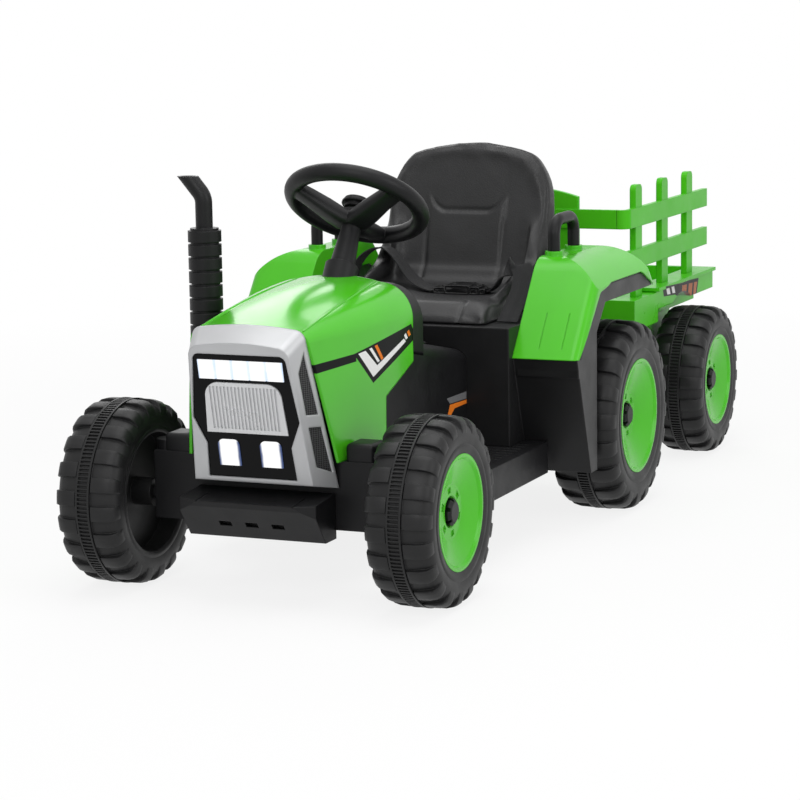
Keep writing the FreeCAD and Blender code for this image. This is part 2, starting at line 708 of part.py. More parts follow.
def new_body(label):
    return doc.addObject("PartDesign::Body", label)


def body_sketch(body, name, plane, points, arcs=None):
    sketch = body.newObject("Sketcher::SketchObject", name)
    role = f"{plane}_Plane"
    sketch.AttachmentSupport = [(next(item for item in body.Origin.OriginFeatures if item.Role == role), "")]
    sketch.MapMode = "FlatFace"
    return draw(sketch, points, arcs)


def turned(body, name, sketch, angle=None, reverse=False, kind="Revolution"):
    """Revolves a profile about its sketch's horizontal axis."""
    feature = body.newObject(f"PartDesign::{kind}", name)
    feature.Profile = sketch
    feature.ReferenceAxis = (sketch, ["H_Axis"])
    feature.Reversed = reverse
    if angle is None:
        feature.Angle = 360
    else:
        feature.setExpression("Angle", f"{angle.text} * 1 deg")
    body.Tip = feature
    return feature


def repeated(body, name, feature, sketch, count):
    """Repeats a feature round its sketch's horizontal axis."""
    pattern = body.newObject("PartDesign::PolarPattern", name)
    pattern.Originals = [feature]
    pattern.Axis = (sketch, ["H_Axis"])
    pattern.Angle = 360
    bind(pattern, "Occurrences", count)
    body.Tip = pattern
    return pattern


def tube(name, radius, points, bend):
    """A round tube along straight runs joined by tangent bends."""
    corners = [Vector(*[as_size(value).value for value in point]) for point in points]
    edges = []
    start = corners[0]
    for before, corner, after in zip(corners, corners[1:], corners[2:]):
        towards = (corner - before).normalize()
        away = (after - corner).normalize()
        reach = bend.value * tan(towards.getAngle(away) / 2)
        entry = corner - towards * reach
        leave = corner + away * reach
        inside = (away - towards).normalize()
        depth = bend.value * (1 / cos(towards.getAngle(away) / 2) - 1)
        edges.append(Part.LineSegment(start, entry).toShape())
        edges.append(Part.Arc(entry, corner + inside * depth, leave).toShape())
        start = leave
    edges.append(Part.LineSegment(start, corners[-1]).toShape())
    path = Part.Wire(edges)
    ring = Part.Wire(Part.makeCircle(as_size(radius).value, corners[0], corners[1] - corners[0]))
    solid = doc.addObject("Part::Feature", name)
    solid.Shape = path.makePipeShell([ring], True, False)
    return solid


# Places that several pieces share
REAR_AXLE_X = D.front_axle_x - D.wheelbase
REAR_TRACK_HALF = D.box_half + D.rear_wheel_gap + D.rear_tyre_width / 2
HITCH_X = REAR_AXLE_X - D.hitch_reach
TRAILER_AXLE_X = HITCH_X - D.trailer_reach
COLUMN_TURN = FreeCAD.Rotation(Vector(0, -1, 0), D.column_tilt.value)
NOSE_TURN = FreeCAD.Rotation(Vector(0, 1, 0), D.nose_lean.value)
# Along the steering shaft, from the middle of the ring down to the middle of the tie rod
TIE_ROD_X = D.front_axle_x - D.knuckle_arm
SHAFT_REACH = (TIE_ROD_X - D.steering_x + D.crank_reach * cos_of(D.column_tilt)) / sin_of(D.column_tilt)
TIE_ROD_Z = D.steering_z - SHAFT_REACH * cos_of(D.column_tilt) - D.crank_reach * sin_of(D.column_tilt)

# Shares of half the tyre's width and of its radius, from the rim out to the tread
SIDEWALL_SHARES = ((0.93, 0.645), (1.0, 0.74), (0.97, 0.86), (0.74, 0.935))
LUG_SHARES = ((0.76, 0.988), (0.955, 0.925), (0.995, 0.86), (0.97, 0.80), (0.90, 0.84), (0.60, 0.93))


def wheel(name, radius, width, rim_radius, axle_radius, x, track):
    """A moulded wheel body, its rim cover and its hub cap, on the left and on the right."""
    half = width / 2
    bore = axle_radius + D.running_gap
    groove = radius - D.lug_height
    band = D.tread_band_width / 2
    seat = rim_radius + D.running_gap
    web_face = -D.web_offset
    web_back = web_face - D.web_wall
    hub_back = -half + D.hub_back_inset
    outer = [(half * across, radius * up) for across, up in SIDEWALL_SHARES]
    inner = [(-across, up) for across, up in reversed(outer)]

    tyre = new_body(f"{name}_tyre_body")
    profile = body_sketch(tyre, f"{name}_tyre_profile", "YZ", [
        (hub_back, bore),
        (D.hub_face_offset, bore),
        (D.hub_face_offset, D.hub_radius),
        (web_face, D.hub_radius),
        (web_face, seat),
        (outer[0][0], seat),
        *outer[1:],
        (band, groove),
        (band, radius),
        (-band, radius),
        (-band, groove),
        *inner,
        (web_back, inner[-1][1]),
        (web_back, D.hub_radius),
        (hub_back, D.hub_radius),
    ])
    turned(tyre, f"{name}_carcass", profile)
    for side, words in ((1, "outer"), (-1, "inner")):
        lug_outline = [(band * side, groove - D.lug_height), (band * side, radius)]
        lug_outline += [(half * across * side, radius * up) for across, up in LUG_SHARES]
        lug_profile = body_sketch(tyre, f"{name}_{words}_lug_profile", "YZ", lug_outline)
        lug = turned(tyre, f"{name}_{words}_lug", lug_profile, D.lug_angle, side < 0)
        repeated(tyre, f"{name}_{words}_lugs", lug, lug_profile, D.lug_count)

    rim = new_body(f"{name}_rim_body")
    lip_face = half - D.rim_drop
    dish_face = D.hub_face_offset + D.rim_wall
    opening = D.nut_radius + D.nut_room
    lip_inside = rim_radius - D.rim_lip
    profile = body_sketch(rim, f"{name}_rim_profile", "YZ", [
        (web_face, rim_radius),
        (lip_face, rim_radius),
        (lip_face, lip_inside),
        (lip_face - D.rim_step, lip_inside - D.rim_wall),
        (dish_face + D.rim_boss_height, D.rim_boss_radius + D.rim_wall),
        (dish_face + D.rim_boss_height, D.cap_radius + D.rim_wall),
        (dish_face, D.cap_radius + D.fit_gap),
        (dish_face, opening),
        (D.hub_face_offset, opening),
        (D.hub_face_offset, D.rim_boss_radius - D.rim_wall),
        (dish_face - D.rim_wall + D.rim_boss_height, D.rim_boss_radius),
        (lip_face - D.rim_step - D.rim_wall, lip_inside - D.rim_wall),
        (lip_face - D.rim_step - D.rim_wall, rim_radius - D.rim_wall),
        (web_face, rim_radius - D.rim_wall),
    ])
    turned(rim, f"{name}_dish", profile)
    pocket_middle = (D.cap_radius + D.rim_wall + D.rim_boss_radius + D.rim_wall) / 2
    pocket_profile = body_sketch(rim, f"{name}_pocket_profile", "YZ", [
        (dish_face + D.rim_boss_height / 2, pocket_middle - D.rim_pocket_radius),
        (dish_face + D.rim_boss_height * 2, pocket_middle - D.rim_pocket_radius),
        (dish_face + D.rim_boss_height * 2, pocket_middle + D.rim_pocket_radius),
        (dish_face + D.rim_boss_height / 2, pocket_middle + D.rim_pocket_radius),
    ])
    pocket = turned(rim, f"{name}_pocket", pocket_profile, D.lug_angle * 2, kind="Groove")
    repeated(rim, f"{name}_pockets", pocket, pocket_profile, D.rim_pocket_count)

    cap = new_body(f"{name}_cap_body")
    cap_face = dish_face + D.cap_height
    room = D.hub_face_offset + D.fit_gap + D.nut_height + D.axle_tip + D.fit_gap
    profile = body_sketch(cap, f"{name}_cap_profile", "YZ", [
        (dish_face, D.cap_radius),
        (cap_face - D.cap_height / 3, D.cap_radius),
        (cap_face, D.cap_radius * CAP_TOP_SHARE),
        (cap_face, ZERO),
        (room, ZERO),
        (room, opening),
        (dish_face, opening),
    ])
    turned(cap, f"{name}_cap_turned", profile)
    notch_profile = body_sketch(cap, f"{name}_notch_profile", "YZ", [
        (dish_face - D.overrun, D.cap_radius - D.cap_notch_radius),
        (cap_face + D.overrun, D.cap_radius - D.cap_notch_radius),
        (cap_face + D.overrun, D.cap_radius + D.overrun),
        (dish_face - D.overrun, D.cap_radius + D.overrun),
    ])
    notch = turned(cap, f"{name}_notch", notch_profile, D.lug_angle * 2, kind="Groove")
    repeated(cap, f"{name}_notches", notch, notch_profile, D.cap_notch_count)

    for piece, words in ((tyre, "tyre"), (rim, "rim"), (cap, "hub_cap")):
        place(piece, x, track, radius)
        left, right = name.replace("side", "left"), name.replace("side", "right")
        node(f"{left}_{words}", piece)
        node(f"{right}_{words}", mirrored(f"{right}_{words}_mirror", piece))


CAP_TOP_SHARE = 0.72
wheel("front_side", D.front_tyre_radius, D.front_tyre_width, D.front_rim_radius,
      D.front_axle_radius, D.front_axle_x, D.front_track_half)
wheel("rear_side", D.rear_tyre_radius, D.rear_tyre_width, D.rear_rim_radius,
      D.rear_axle_radius, REAR_AXLE_X, REAR_TRACK_HALF)
wheel("trailer_side", D.trailer_tyre_radius, D.trailer_tyre_width, D.trailer_rim_radius,
      D.trailer_axle_radius, TRAILER_AXLE_X, D.trailer_track_half)


def axle_end(name, radius, track, x, z):
    """Nut and tip outside a wheel's hub, on the left."""
    start = track + D.hub_face_offset + D.fit_gap
    nut = rod(f"{name}_nut", D.nut_radius, "Y", start, start + D.nut_height, (x, z))
    tip = rod(f"{name}_tip", radius, "Y", start + D.nut_height, start + D.nut_height + D.axle_tip, (x, z))
    return nut, tip


def wheel_back(track, width):
    """Where the inner end of a wheel's hub lies."""
    return track - width / 2 + D.hub_back_inset


def build_front_axle():
    """Beam, knuckles and tie rod."""
    axle = D.front_axle_x
    front = axle + D.beam_front_reach
    rear = axle - D.beam_rear_reach
    under = D.beam_top_z - D.beam_plate
    lug_top = D.beam_bottom_z + D.kingpin_lug
    plate = box("beam_plate_box", (rear, front), (-D.beam_half, D.beam_half), (under, D.beam_top_z))
    face = box("beam_front_wall", (front - D.beam_wall, front), (-D.beam_half, D.beam_half),
               (D.beam_bottom_z, under))
    pieces = [plate, face]
    bores = []
    for side, words in ((1, "left"), (-1, "right")):
        ends = sorted((D.beam_notch_half * side, D.beam_rear_half * side), key=lambda item: item.value)
        pieces.append(box(f"beam_rear_wall_{words}", (rear, rear + D.beam_wall), ends,
                          (D.beam_bottom_z, under)))
        pin_y = D.kingpin_y * side
        pieces.append(rod(f"kingpin_cap_{words}", D.kingpin_cap_radius, "Z", under,
                          D.beam_top_z + D.kingpin_cap_height, (axle, pin_y)))
        lug = box(f"kingpin_lug_{words}", (axle - D.kingpin_lug_half, front),
                  (pin_y - D.kingpin_lug_half, pin_y + D.kingpin_lug_half), (D.beam_bottom_z, lug_top))
        pieces.append(common(f"kingpin_lug_end_{words}", lug, box(
            f"kingpin_lug_limit_{words}", (rear, front), (-D.beam_half, D.beam_half),
            (D.beam_bottom_z, lug_top))))
        bores.append(rod(f"kingpin_bore_{words}", D.kingpin_radius + D.running_gap, "Z",
                         D.beam_bottom_z - D.overrun, D.beam_top_z, (axle, pin_y)))
    node("front_axle_beam", cut("front_axle_beam_cut", fuse("beam_fused", *pieces), *bores))

    pin_y = D.kingpin_y
    centre_z = D.front_tyre_radius
    barrel_low = lug_top + D.fit_gap
    barrel_high = under - D.fit_gap
    hub_back = wheel_back(D.front_track_half, D.front_tyre_width) - D.fit_gap
    arm_low = lug_top + D.knuckle_arm_lift
    nut_end = D.front_track_half + D.hub_face_offset + D.fit_gap + D.nut_height
    swing = D.knuckle_arm + D.knuckle_arm / 8
    slot_half = D.tie_rod_pin_radius + D.tie_pin_play
    arm = prism("knuckle_arm_plate", "XY", [
        (axle, pin_y - D.knuckle_arm_half),
        (axle, pin_y + D.knuckle_arm_half),
        (axle - swing - D.knuckle_arm_half, pin_y + D.knuckle_arm_half),
        (axle - swing - D.knuckle_arm_half, pin_y - D.knuckle_arm_half),
    ], arm_low, arm_low + D.knuckle_arm_plate)
    slot = prism("knuckle_slot", "XY", [
        (axle - D.knuckle_arm + slot_half, pin_y - slot_half),
        (axle - D.knuckle_arm + slot_half, pin_y + slot_half),
        (axle - swing - D.tie_pin_play, pin_y + slot_half),
        (axle - swing - D.tie_pin_play - slot_half, pin_y),
        (axle - swing - D.tie_pin_play, pin_y - slot_half),
    ], arm_low - D.overrun, arm_low + D.knuckle_arm_plate + D.overrun,
        {2: (slot_half, 1), 3: (slot_half, 1)})
    knuckle = cut("left_knuckle_cut", fuse(
        "knuckle_fused",
        rod("kingpin", D.kingpin_radius, "Z", D.beam_bottom_z, D.beam_top_z - D.fit_gap, (axle, pin_y)),
        rod("knuckle_barrel", D.knuckle_radius, "Z", barrel_low, barrel_high, (axle, pin_y)),
        rod("knuckle_collar", D.collar_radius, "Y", pin_y, hub_back, (axle, centre_z)),
        rod("stub_axle", D.front_axle_radius, "Y", pin_y, nut_end, (axle, centre_z)),
        *axle_end("stub", D.front_axle_radius, D.front_track_half, axle, centre_z),
        arm,
    ), slot)
    node("left_knuckle", knuckle)
    node("right_knuckle", mirrored("right_knuckle_mirror", knuckle))

    low, high = TIE_ROD_Z - D.tie_rod_plate / 2, TIE_ROD_Z + D.tie_rod_plate / 2
    half = D.kingpin_y + D.tie_rod_end
    bar = box("tie_rod_bar", (TIE_ROD_X - D.tie_rod_half, TIE_ROD_X + D.tie_rod_half), (-half, half),
              (low, high))
    pins = [rod(f"tie_rod_pin_{index}", D.tie_rod_pin_radius, "Z", TIE_ROD_Z,
                arm_low + D.knuckle_arm_plate + D.knuckle_arm_lift, (TIE_ROD_X, D.kingpin_y * side))
            for index, side in enumerate((1, -1))]
    pad_half = D.crank_slot_room * 2 + D.crank_pin_radius
    pad = rod("tie_rod_pad", pad_half, "Z", low, high, (TIE_ROD_X + D.crank_slot_room / 2, ZERO))
    slot_half = D.crank_pin_radius + D.crank_pin_play
    crank_slot = prism("tie_rod_slot", "XY", [
        (TIE_ROD_X - D.crank_slot_room, -slot_half),
        (TIE_ROD_X + D.crank_slot_room * 2, -slot_half),
        (TIE_ROD_X + D.crank_slot_room * 2, slot_half),
        (TIE_ROD_X - D.crank_slot_room, slot_half),
    ], low - D.overrun, high + D.overrun)
    node("tie_rod", cut("tie_rod_cut", fuse("tie_rod_fused", bar, pad, *pins), crank_slot))


def build_steering():
    """Wheel, horn button, shaft with its crank, and the fixed column; drawn along their own axis."""
    def along(item):
        """Turns a piece drawn upright about the ring's middle onto the steering axis."""
        return place(item, D.steering_x, ZERO, D.steering_z, COLUMN_TURN)

    hub_top = -D.steering_hub_top
    hub_foot = hub_top - D.steering_hub_height
    ring = doc.addObject("Part::Torus", "steering_ring")
    bind(ring, "Radius1", D.steering_ring_radius)
    bind(ring, "Radius2", D.steering_grip_radius)
    hub = rod("steering_hub", D.steering_hub_radius, "Z", hub_foot, hub_top, (ZERO, ZERO))
    spokes = []
    spoke_low = hub_top - D.spoke_plate * 2
    for index in range(int(D.spoke_count.value)):
        spoke = prism(f"spoke_{index}", "XZ", [
            (ZERO, spoke_low),
            (D.steering_hub_radius, spoke_low),
            (D.steering_ring_radius, -D.spoke_plate / 2),
            (D.steering_ring_radius, D.spoke_plate / 2),
            (D.steering_hub_radius, spoke_low + D.spoke_plate),
            (ZERO, spoke_low + D.spoke_plate),
        ], -D.spoke_hub_half, D.spoke_hub_half)
        taper = prism(f"spoke_taper_{index}", "XY", [
            (ZERO, -D.spoke_hub_half),
            (D.steering_ring_radius, -D.spoke_half),
            (D.steering_ring_radius, D.spoke_half),
            (ZERO, D.spoke_hub_half),
        ], spoke_low - D.overrun, D.spoke_plate + D.overrun)
        arm = common(f"spoke_arm_{index}", spoke, taper)
        arm.Placement = FreeCAD.Placement(Vector(), FreeCAD.Rotation(
            Vector(0, 0, 1), 180 + 360 / D.spoke_count.value * index))
        spokes.append(arm)
    button_floor = hub_top + D.horn_proud - D.horn_height - D.horn_travel - D.fit_gap
    recess = rod("horn_recess", D.horn_radius + D.fit_gap, "Z", button_floor, hub_top + D.overrun,
                 (ZERO, ZERO))
    shaft_top = hub_foot + D.shaft_seat
    socket = rod("shaft_socket", D.shaft_radius + D.running_gap, "Z", hub_foot - D.overrun, shaft_top,
                 (ZERO, ZERO))
    node("steering_wheel", along(cut("steering_wheel_cut", fuse("steering_fused", ring, hub, *spokes),
                                     recess, socket)))

    horn = new_body("horn_button_body")
    low, high = hub_top + D.horn_proud - D.horn_height, hub_top + D.horn_proud
    profile = body_sketch(horn, "horn_profile", "XZ", [
        (ZERO, low),
        (D.horn_radius, low),
        (D.horn_radius, high - D.horn_height / 4),
        (D.horn_radius * HORN_TOP_SHARE, high),
        (ZERO, high),
    ])
    dome = horn.newObject("PartDesign::Revolution", "horn_turned")
    dome.Profile = profile
    dome.ReferenceAxis = (profile, ["V_Axis"])
    dome.Angle = 360
    horn.Tip = dome
    node("horn_button", along(horn))

    foot = -SHAFT_REACH
    plate_low = foot + D.crank_lift
    crank = prism("crank_plate_prism", "XY", [
        (ZERO, -D.crank_half),
        (D.crank_half, ZERO),
        (ZERO, D.crank_half),
        (-D.crank_reach, D.crank_half),
        (-D.crank_reach - D.crank_half, ZERO),
        (-D.crank_reach, -D.crank_half),
    ], plate_low, plate_low + D.crank_plate, {index: (D.crank_half, 1) for index in (0, 1, 3, 4)})
    node("steering_shaft", along(fuse(
        "steering_shaft_fused",
        rod("shaft_rod", D.shaft_radius, "Z", plate_low, shaft_top, (ZERO, ZERO)),
        crank,
        rod("crank_pin", D.crank_pin_radius, "Z", foot - D.crank_pin_tail, plate_low, (-D.crank_reach, ZERO)),
    )))

    column = new_body("steering_column_body")
    bore = D.shaft_radius + D.shaft_room
    head = hub_foot - D.fit_gap
    profile = body_sketch(column, "column_profile", "XZ", [
        (bore, -D.column_foot_drop),
        (D.column_foot_radius, -D.column_foot_drop),
        (D.column_foot_radius, -D.column_foot_drop + D.wall * 2),
        (D.column_head_radius, head - D.wall * 2),
        (D.column_head_radius, head),
        (bore, head),
    ])
    turned_column = column.newObject("PartDesign::Revolution", "column_turned")
    turned_column.Profile = profile
    turned_column.ReferenceAxis = (profile, ["V_Axis"])
    turned_column.Angle = 360
    column.Tip = turned_column
    node("steering_column", along(column))


HORN_TOP_SHARE = 0.8


def nose_section(name, depth, inset, foot, head, foot_half, head_half):
    """One upright outline of the nose, across and up, with rounded upper corners, on the leaning face."""
    corner = D.nose_corner - inset
    top, low = head - inset, foot + inset
    foot_side, head_side = foot_half - inset, head_half - inset
    points = [
        (-foot_side, low),
        (foot_side, low),
        (head_side, top - corner),
        (head_side - corner, top),
        (-(head_side - corner), top),
        (-head_side, top - corner),
    ]
    flat_half = head_side - corner
    crown_radius = (flat_half * flat_half + D.nose_crown * D.nose_crown) / (D.nose_crown * 2)
    sketch = doc.addObject("Sketcher::SketchObject", name)
    draw(sketch, points, {2: (corner, 1), 3: (crown_radius, 1), 4: (corner, 1)})
    frame = FreeCAD.Placement(Vector(D.nose_x.value, 0, D.nose_z.value), NOSE_TURN)
    sketch.Placement = frame * FreeCAD.Placement(Vector(depth.value, 0, 0), DRAWN_ON["YZ"])
    return sketch


def nose_form(name, inset, front, back):
    """The nose as a loft from one depth to another, drawn in by an inset."""
    def between(at_front, at_back, depth):
        return at_front + (at_back - at_front) * (-depth / D.nose_depth)
    sections = []
    for words, depth in (("front", front), ("back", back)):
        sections.append(nose_section(
            f"{name}_{words}", depth, inset,
            between(ZERO, -D.nose_back_drop, depth),
            between(D.nose_height, D.nose_height + D.nose_back_rise, depth),
            between(D.nose_foot_half, D.nose_back_foot_half, depth),
            between(D.nose_head_half, D.nose_back_head_half, depth)))
    return loft(name, sections, ruled=True)


def on_nose(item):
    """Turns a piece drawn on an upright face onto the leaning nose."""
    return place(item, D.nose_x, ZERO, D.nose_z, NOSE_TURN)


def panel_outline(inset=ZERO):
    """Right half, then left half, of the grille panel's outline."""
    corner = D.panel_corner
    right = [
        (D.panel_foot_half - inset, D.panel_foot_v + inset),
        (D.panel_waist_half - inset, D.panel_waist_v),
        (D.panel_hip_half - inset, D.panel_hip_v),
        (D.panel_head_half - inset, D.panel_head_v - corner),
        (D.panel_head_half - corner, D.panel_head_v - inset),
    ]
    return right + [(-across, up) for across, up in reversed(right)], {3: (corner, 1), 5: (corner, 1)}


# Shares of the nose's depth and height, for the two vents on each side
VENT_SHARES = (
    ((0.30, 0.50), (0.86, 0.47), (0.80, 0.93), (0.34, 0.80)),
    ((0.30, 0.12), (0.90, 0.04), (0.86, 0.38), (0.30, 0.41)),
)


def build_nose():
    """Surround, grille panel, radiator insert, lamps and side vents."""
    depth = D.nose_depth
    outer = nose_form("nose_outer", ZERO, ZERO, -depth)
    hollow = nose_form("nose_hollow", D.nose_wall, -D.panel_inset - D.panel_plate, -depth - D.overrun)
    points, arcs = panel_outline()
    opening = on_nose(prism("panel_opening", "YZ", points, -D.panel_inset - D.panel_plate - D.overrun,
                            D.overrun, arcs))
    vent_holes = []
    vents = []
    skin_low = nose_form("vent_face", D.vent_inset, D.overrun, -depth - D.overrun)
    skin_deep = nose_form("vent_back", D.vent_inset + D.vent_plate, D.overrun, -depth - D.overrun)
    for index, shares in enumerate(VENT_SHARES):
        outline = [(-(depth * back), D.nose_height * up) for back, up in shares]
        for side, words in ((1, "left"), (-1, "right")):
            reach = sorted((D.nose_head_half / 3 * side, D.nose_back_foot_half * 2 * side),
                           key=lambda item: item.value)
            hole = on_nose(prism(f"vent_{words}_{index}", "XZ", outline, *reach))
            vent_holes.append(hole)
            blank = common(f"vent_blank_{words}_{index}", hole, skin_low)
            vents.append(cut(f"vent_plate_{words}_{index}", blank, skin_deep))
    node("side_vents", group("side_vents_group", *vents))
    node("grille_surround", cut("grille_surround_cut", outer, hollow, opening, *vent_holes))

    face = -D.panel_inset
    floor = face - D.pocket_depth
    bar_limits = (D.bar_foot_v, D.bar_foot_v + D.bar_height)
    radiator_top = D.radiator_foot_v + D.radiator_height
    radiator_points = [
        (-D.radiator_foot_half, D.radiator_foot_v),
        (D.radiator_foot_half, D.radiator_foot_v),
        (D.radiator_head_half, radiator_top - D.radiator_corner),
        (D.radiator_head_half - D.radiator_corner, radiator_top),
        (-(D.radiator_head_half - D.radiator_corner), radiator_top),
        (-D.radiator_head_half, radiator_top - D.radiator_corner),
    ]
    radiator_arcs = {2: (D.radiator_corner, 1), 4: (D.radiator_corner, 1)}

    def lamp(name, side, low, high):
        left, right = D.lamp_u * side - D.lamp_width / 2, D.lamp_u * side + D.lamp_width / 2
        foot, top = D.lamp_foot_v, D.lamp_foot_v + D.lamp_height
        corner = D.lamp_corner
        return prism(name, "YZ", [
            (left, foot), (right, foot), (right, top - corner), (right - corner, top),
            (left + corner, top), (left, top - corner),
        ], low, high, {2: (corner, 1), 4: (corner, 1)})

    panel_blank = prism("panel_blank", "YZ", points, face - D.panel_plate, face, arcs)
    pockets = [
        box("bar_pocket", (floor, D.overrun), (-D.bar_half, D.bar_half), bar_limits),
        prism("radiator_pocket", "YZ", radiator_points, floor, D.overrun, radiator_arcs),
        lamp("lamp_pocket_left", 1, floor, D.overrun),
        lamp("lamp_pocket_right", -1, floor, D.overrun),
    ]
    node("grille_panel", on_nose(cut("grille_panel_cut", panel_blank, *pockets)))

    segment = D.bar_half * 2 / D.bar_segments
    bar = box("light_bar_box", (floor, floor + D.bar_plate), (-D.bar_half, D.bar_half), bar_limits)
    grooves = []
    for index in range(1, int(D.bar_segments.value)):
        middle = -D.bar_half + segment * index
        grooves.append(box(f"bar_groove_{index}",
                           (floor + D.bar_plate - D.bar_groove, floor + D.bar_plate + D.overrun),
                           (middle - D.bar_groove / 2, middle + D.bar_groove / 2),
                           (D.bar_foot_v - D.overrun, D.bar_foot_v + D.bar_height + D.overrun)))
    lights = group("front_lights_group", cut("light_bar", bar, *grooves),
                   lamp("left_headlight", 1, floor, floor + D.lamp_plate),
                   lamp("right_headlight", -1, floor, floor + D.lamp_plate))
    node("front_lights", on_nose(lights))

    insert = prism("radiator_blank", "YZ", radiator_points, floor, floor + D.radiator_plate, radiator_arcs)
    ribs = []
    rib_face = floor + D.radiator_plate
    pitch = (D.radiator_head_half * 2 - D.radiator_frame * 2) / D.radiator_ribs
    for index in range(int(D.radiator_ribs.value)):
        middle = -D.radiator_head_half + D.radiator_frame + pitch * (index + 0.5)
        ribs.append(box(f"radiator_groove_{index}",
                        (rib_face - D.radiator_groove_depth, rib_face + D.overrun),
                        (middle - D.radiator_groove / 2, middle + D.radiator_groove / 2),
                        (D.radiator_foot_v + D.radiator_frame, radiator_top - D.radiator_frame)))
    node("radiator_grille", on_nose(cut("radiator_grille_cut", insert, group("radiator_grooves", *ribs))))


def hood_section(name, x, share, inset):
    """One upright outline of the hood; share runs from 0 at the front to 1 at the rear."""
    def between(front, rear):
        return front + (rear - front) * share
    half = between(D.hood_front_half, D.hood_rear_half) - inset
    head_half = between(D.hood_front_head_half, D.hood_rear_head_half) - inset
    corner = between(D.hood_front_corner, D.hood_rear_corner)
    top = between(D.hood_front_top_z, D.hood_rear_top_z) - inset
    eaves = top - D.hood_crown
    low = D.hood_bottom_z - (D.overrun if inset is not ZERO else ZERO)
    flat_half = head_half - corner
    crown_radius = (flat_half * flat_half + D.hood_crown * D.hood_crown) / (D.hood_crown * 2)
    points = [
        (-half, low),
        (half, low),
        (head_half, eaves - corner),
        (flat_half, eaves),
        (-flat_half, eaves),
        (-head_half, eaves - corner),
    ]
    # A little over the corner's height, so that the arc closes a corner that isn't quite square
    radius = corner * HOOD_CORNER_SHARE
    return free_sketch(name, "YZ", x, points, {2: (radius, 1), 3: (crown_radius, 1), 4: (radius, 1)})


HOOD_CORNER_SHARE = 1.04
HOOD_SHOULDER_SHARE = 1.4
HOOD_BULGE_SHARES = ((0.0, 0.0), (0.34, 0.46), (0.68, 0.82), (1.0, 1.0))


def hood_form(name, inset):
    """The hood's outside or inside as a loft, a little longer than the hood."""
    front = D.nose_x + D.nose_depth / 2
    rear = D.hood_rear_x
    sections = []
    for index, (along, share) in enumerate(HOOD_BULGE_SHARES):
        sections.append(hood_section(f"{name}_{index}", front + (rear - front) * along, share, inset))
    return loft(name, sections)


def build_hood():
    """Hood shell, cut to the leaning nose in front and to its side cut-outs behind."""
    outer = hood_form("hood_outer", ZERO)
    inner = hood_form("hood_inner", D.wall)
    far = D.hood_rear_half * 2
    ahead = on_nose(prism("nose_space", "XZ", [
        (-D.nose_depth, -D.nose_height),
        (D.nose_height, -D.nose_height),
        (D.nose_height, D.nose_height * 2),
        (-D.nose_depth, D.nose_height * 2),
    ], -far, far))
    low = D.hood_bottom_z - D.overrun
    behind = D.hood_rear_x - D.overrun
    side_cut = prism("hood_side_cut", "XZ", [
        (behind, low),
        (D.hood_cut_front_x, low),
        (D.hood_cut_knee_x, D.hood_cut_low_z),
        (D.hood_cut_rear_x, D.hood_cut_top_z),
        (D.hood_rear_x + D.hood_rear_lean, D.hood_rear_top_z - D.hood_rear_corner * HOOD_SHOULDER_SHARE),
        (D.hood_rear_x, D.hood_rear_top_z),
        (behind, D.hood_rear_top_z),
    ], -far, far)
    notch = on_column("hood_notch", D.dash_boss_radius + D.shaft_room, D.dash_boss_radius * 3)
    node("hood", cut("hood_cut", outer, inner, ahead, side_cut, notch))
    return outer


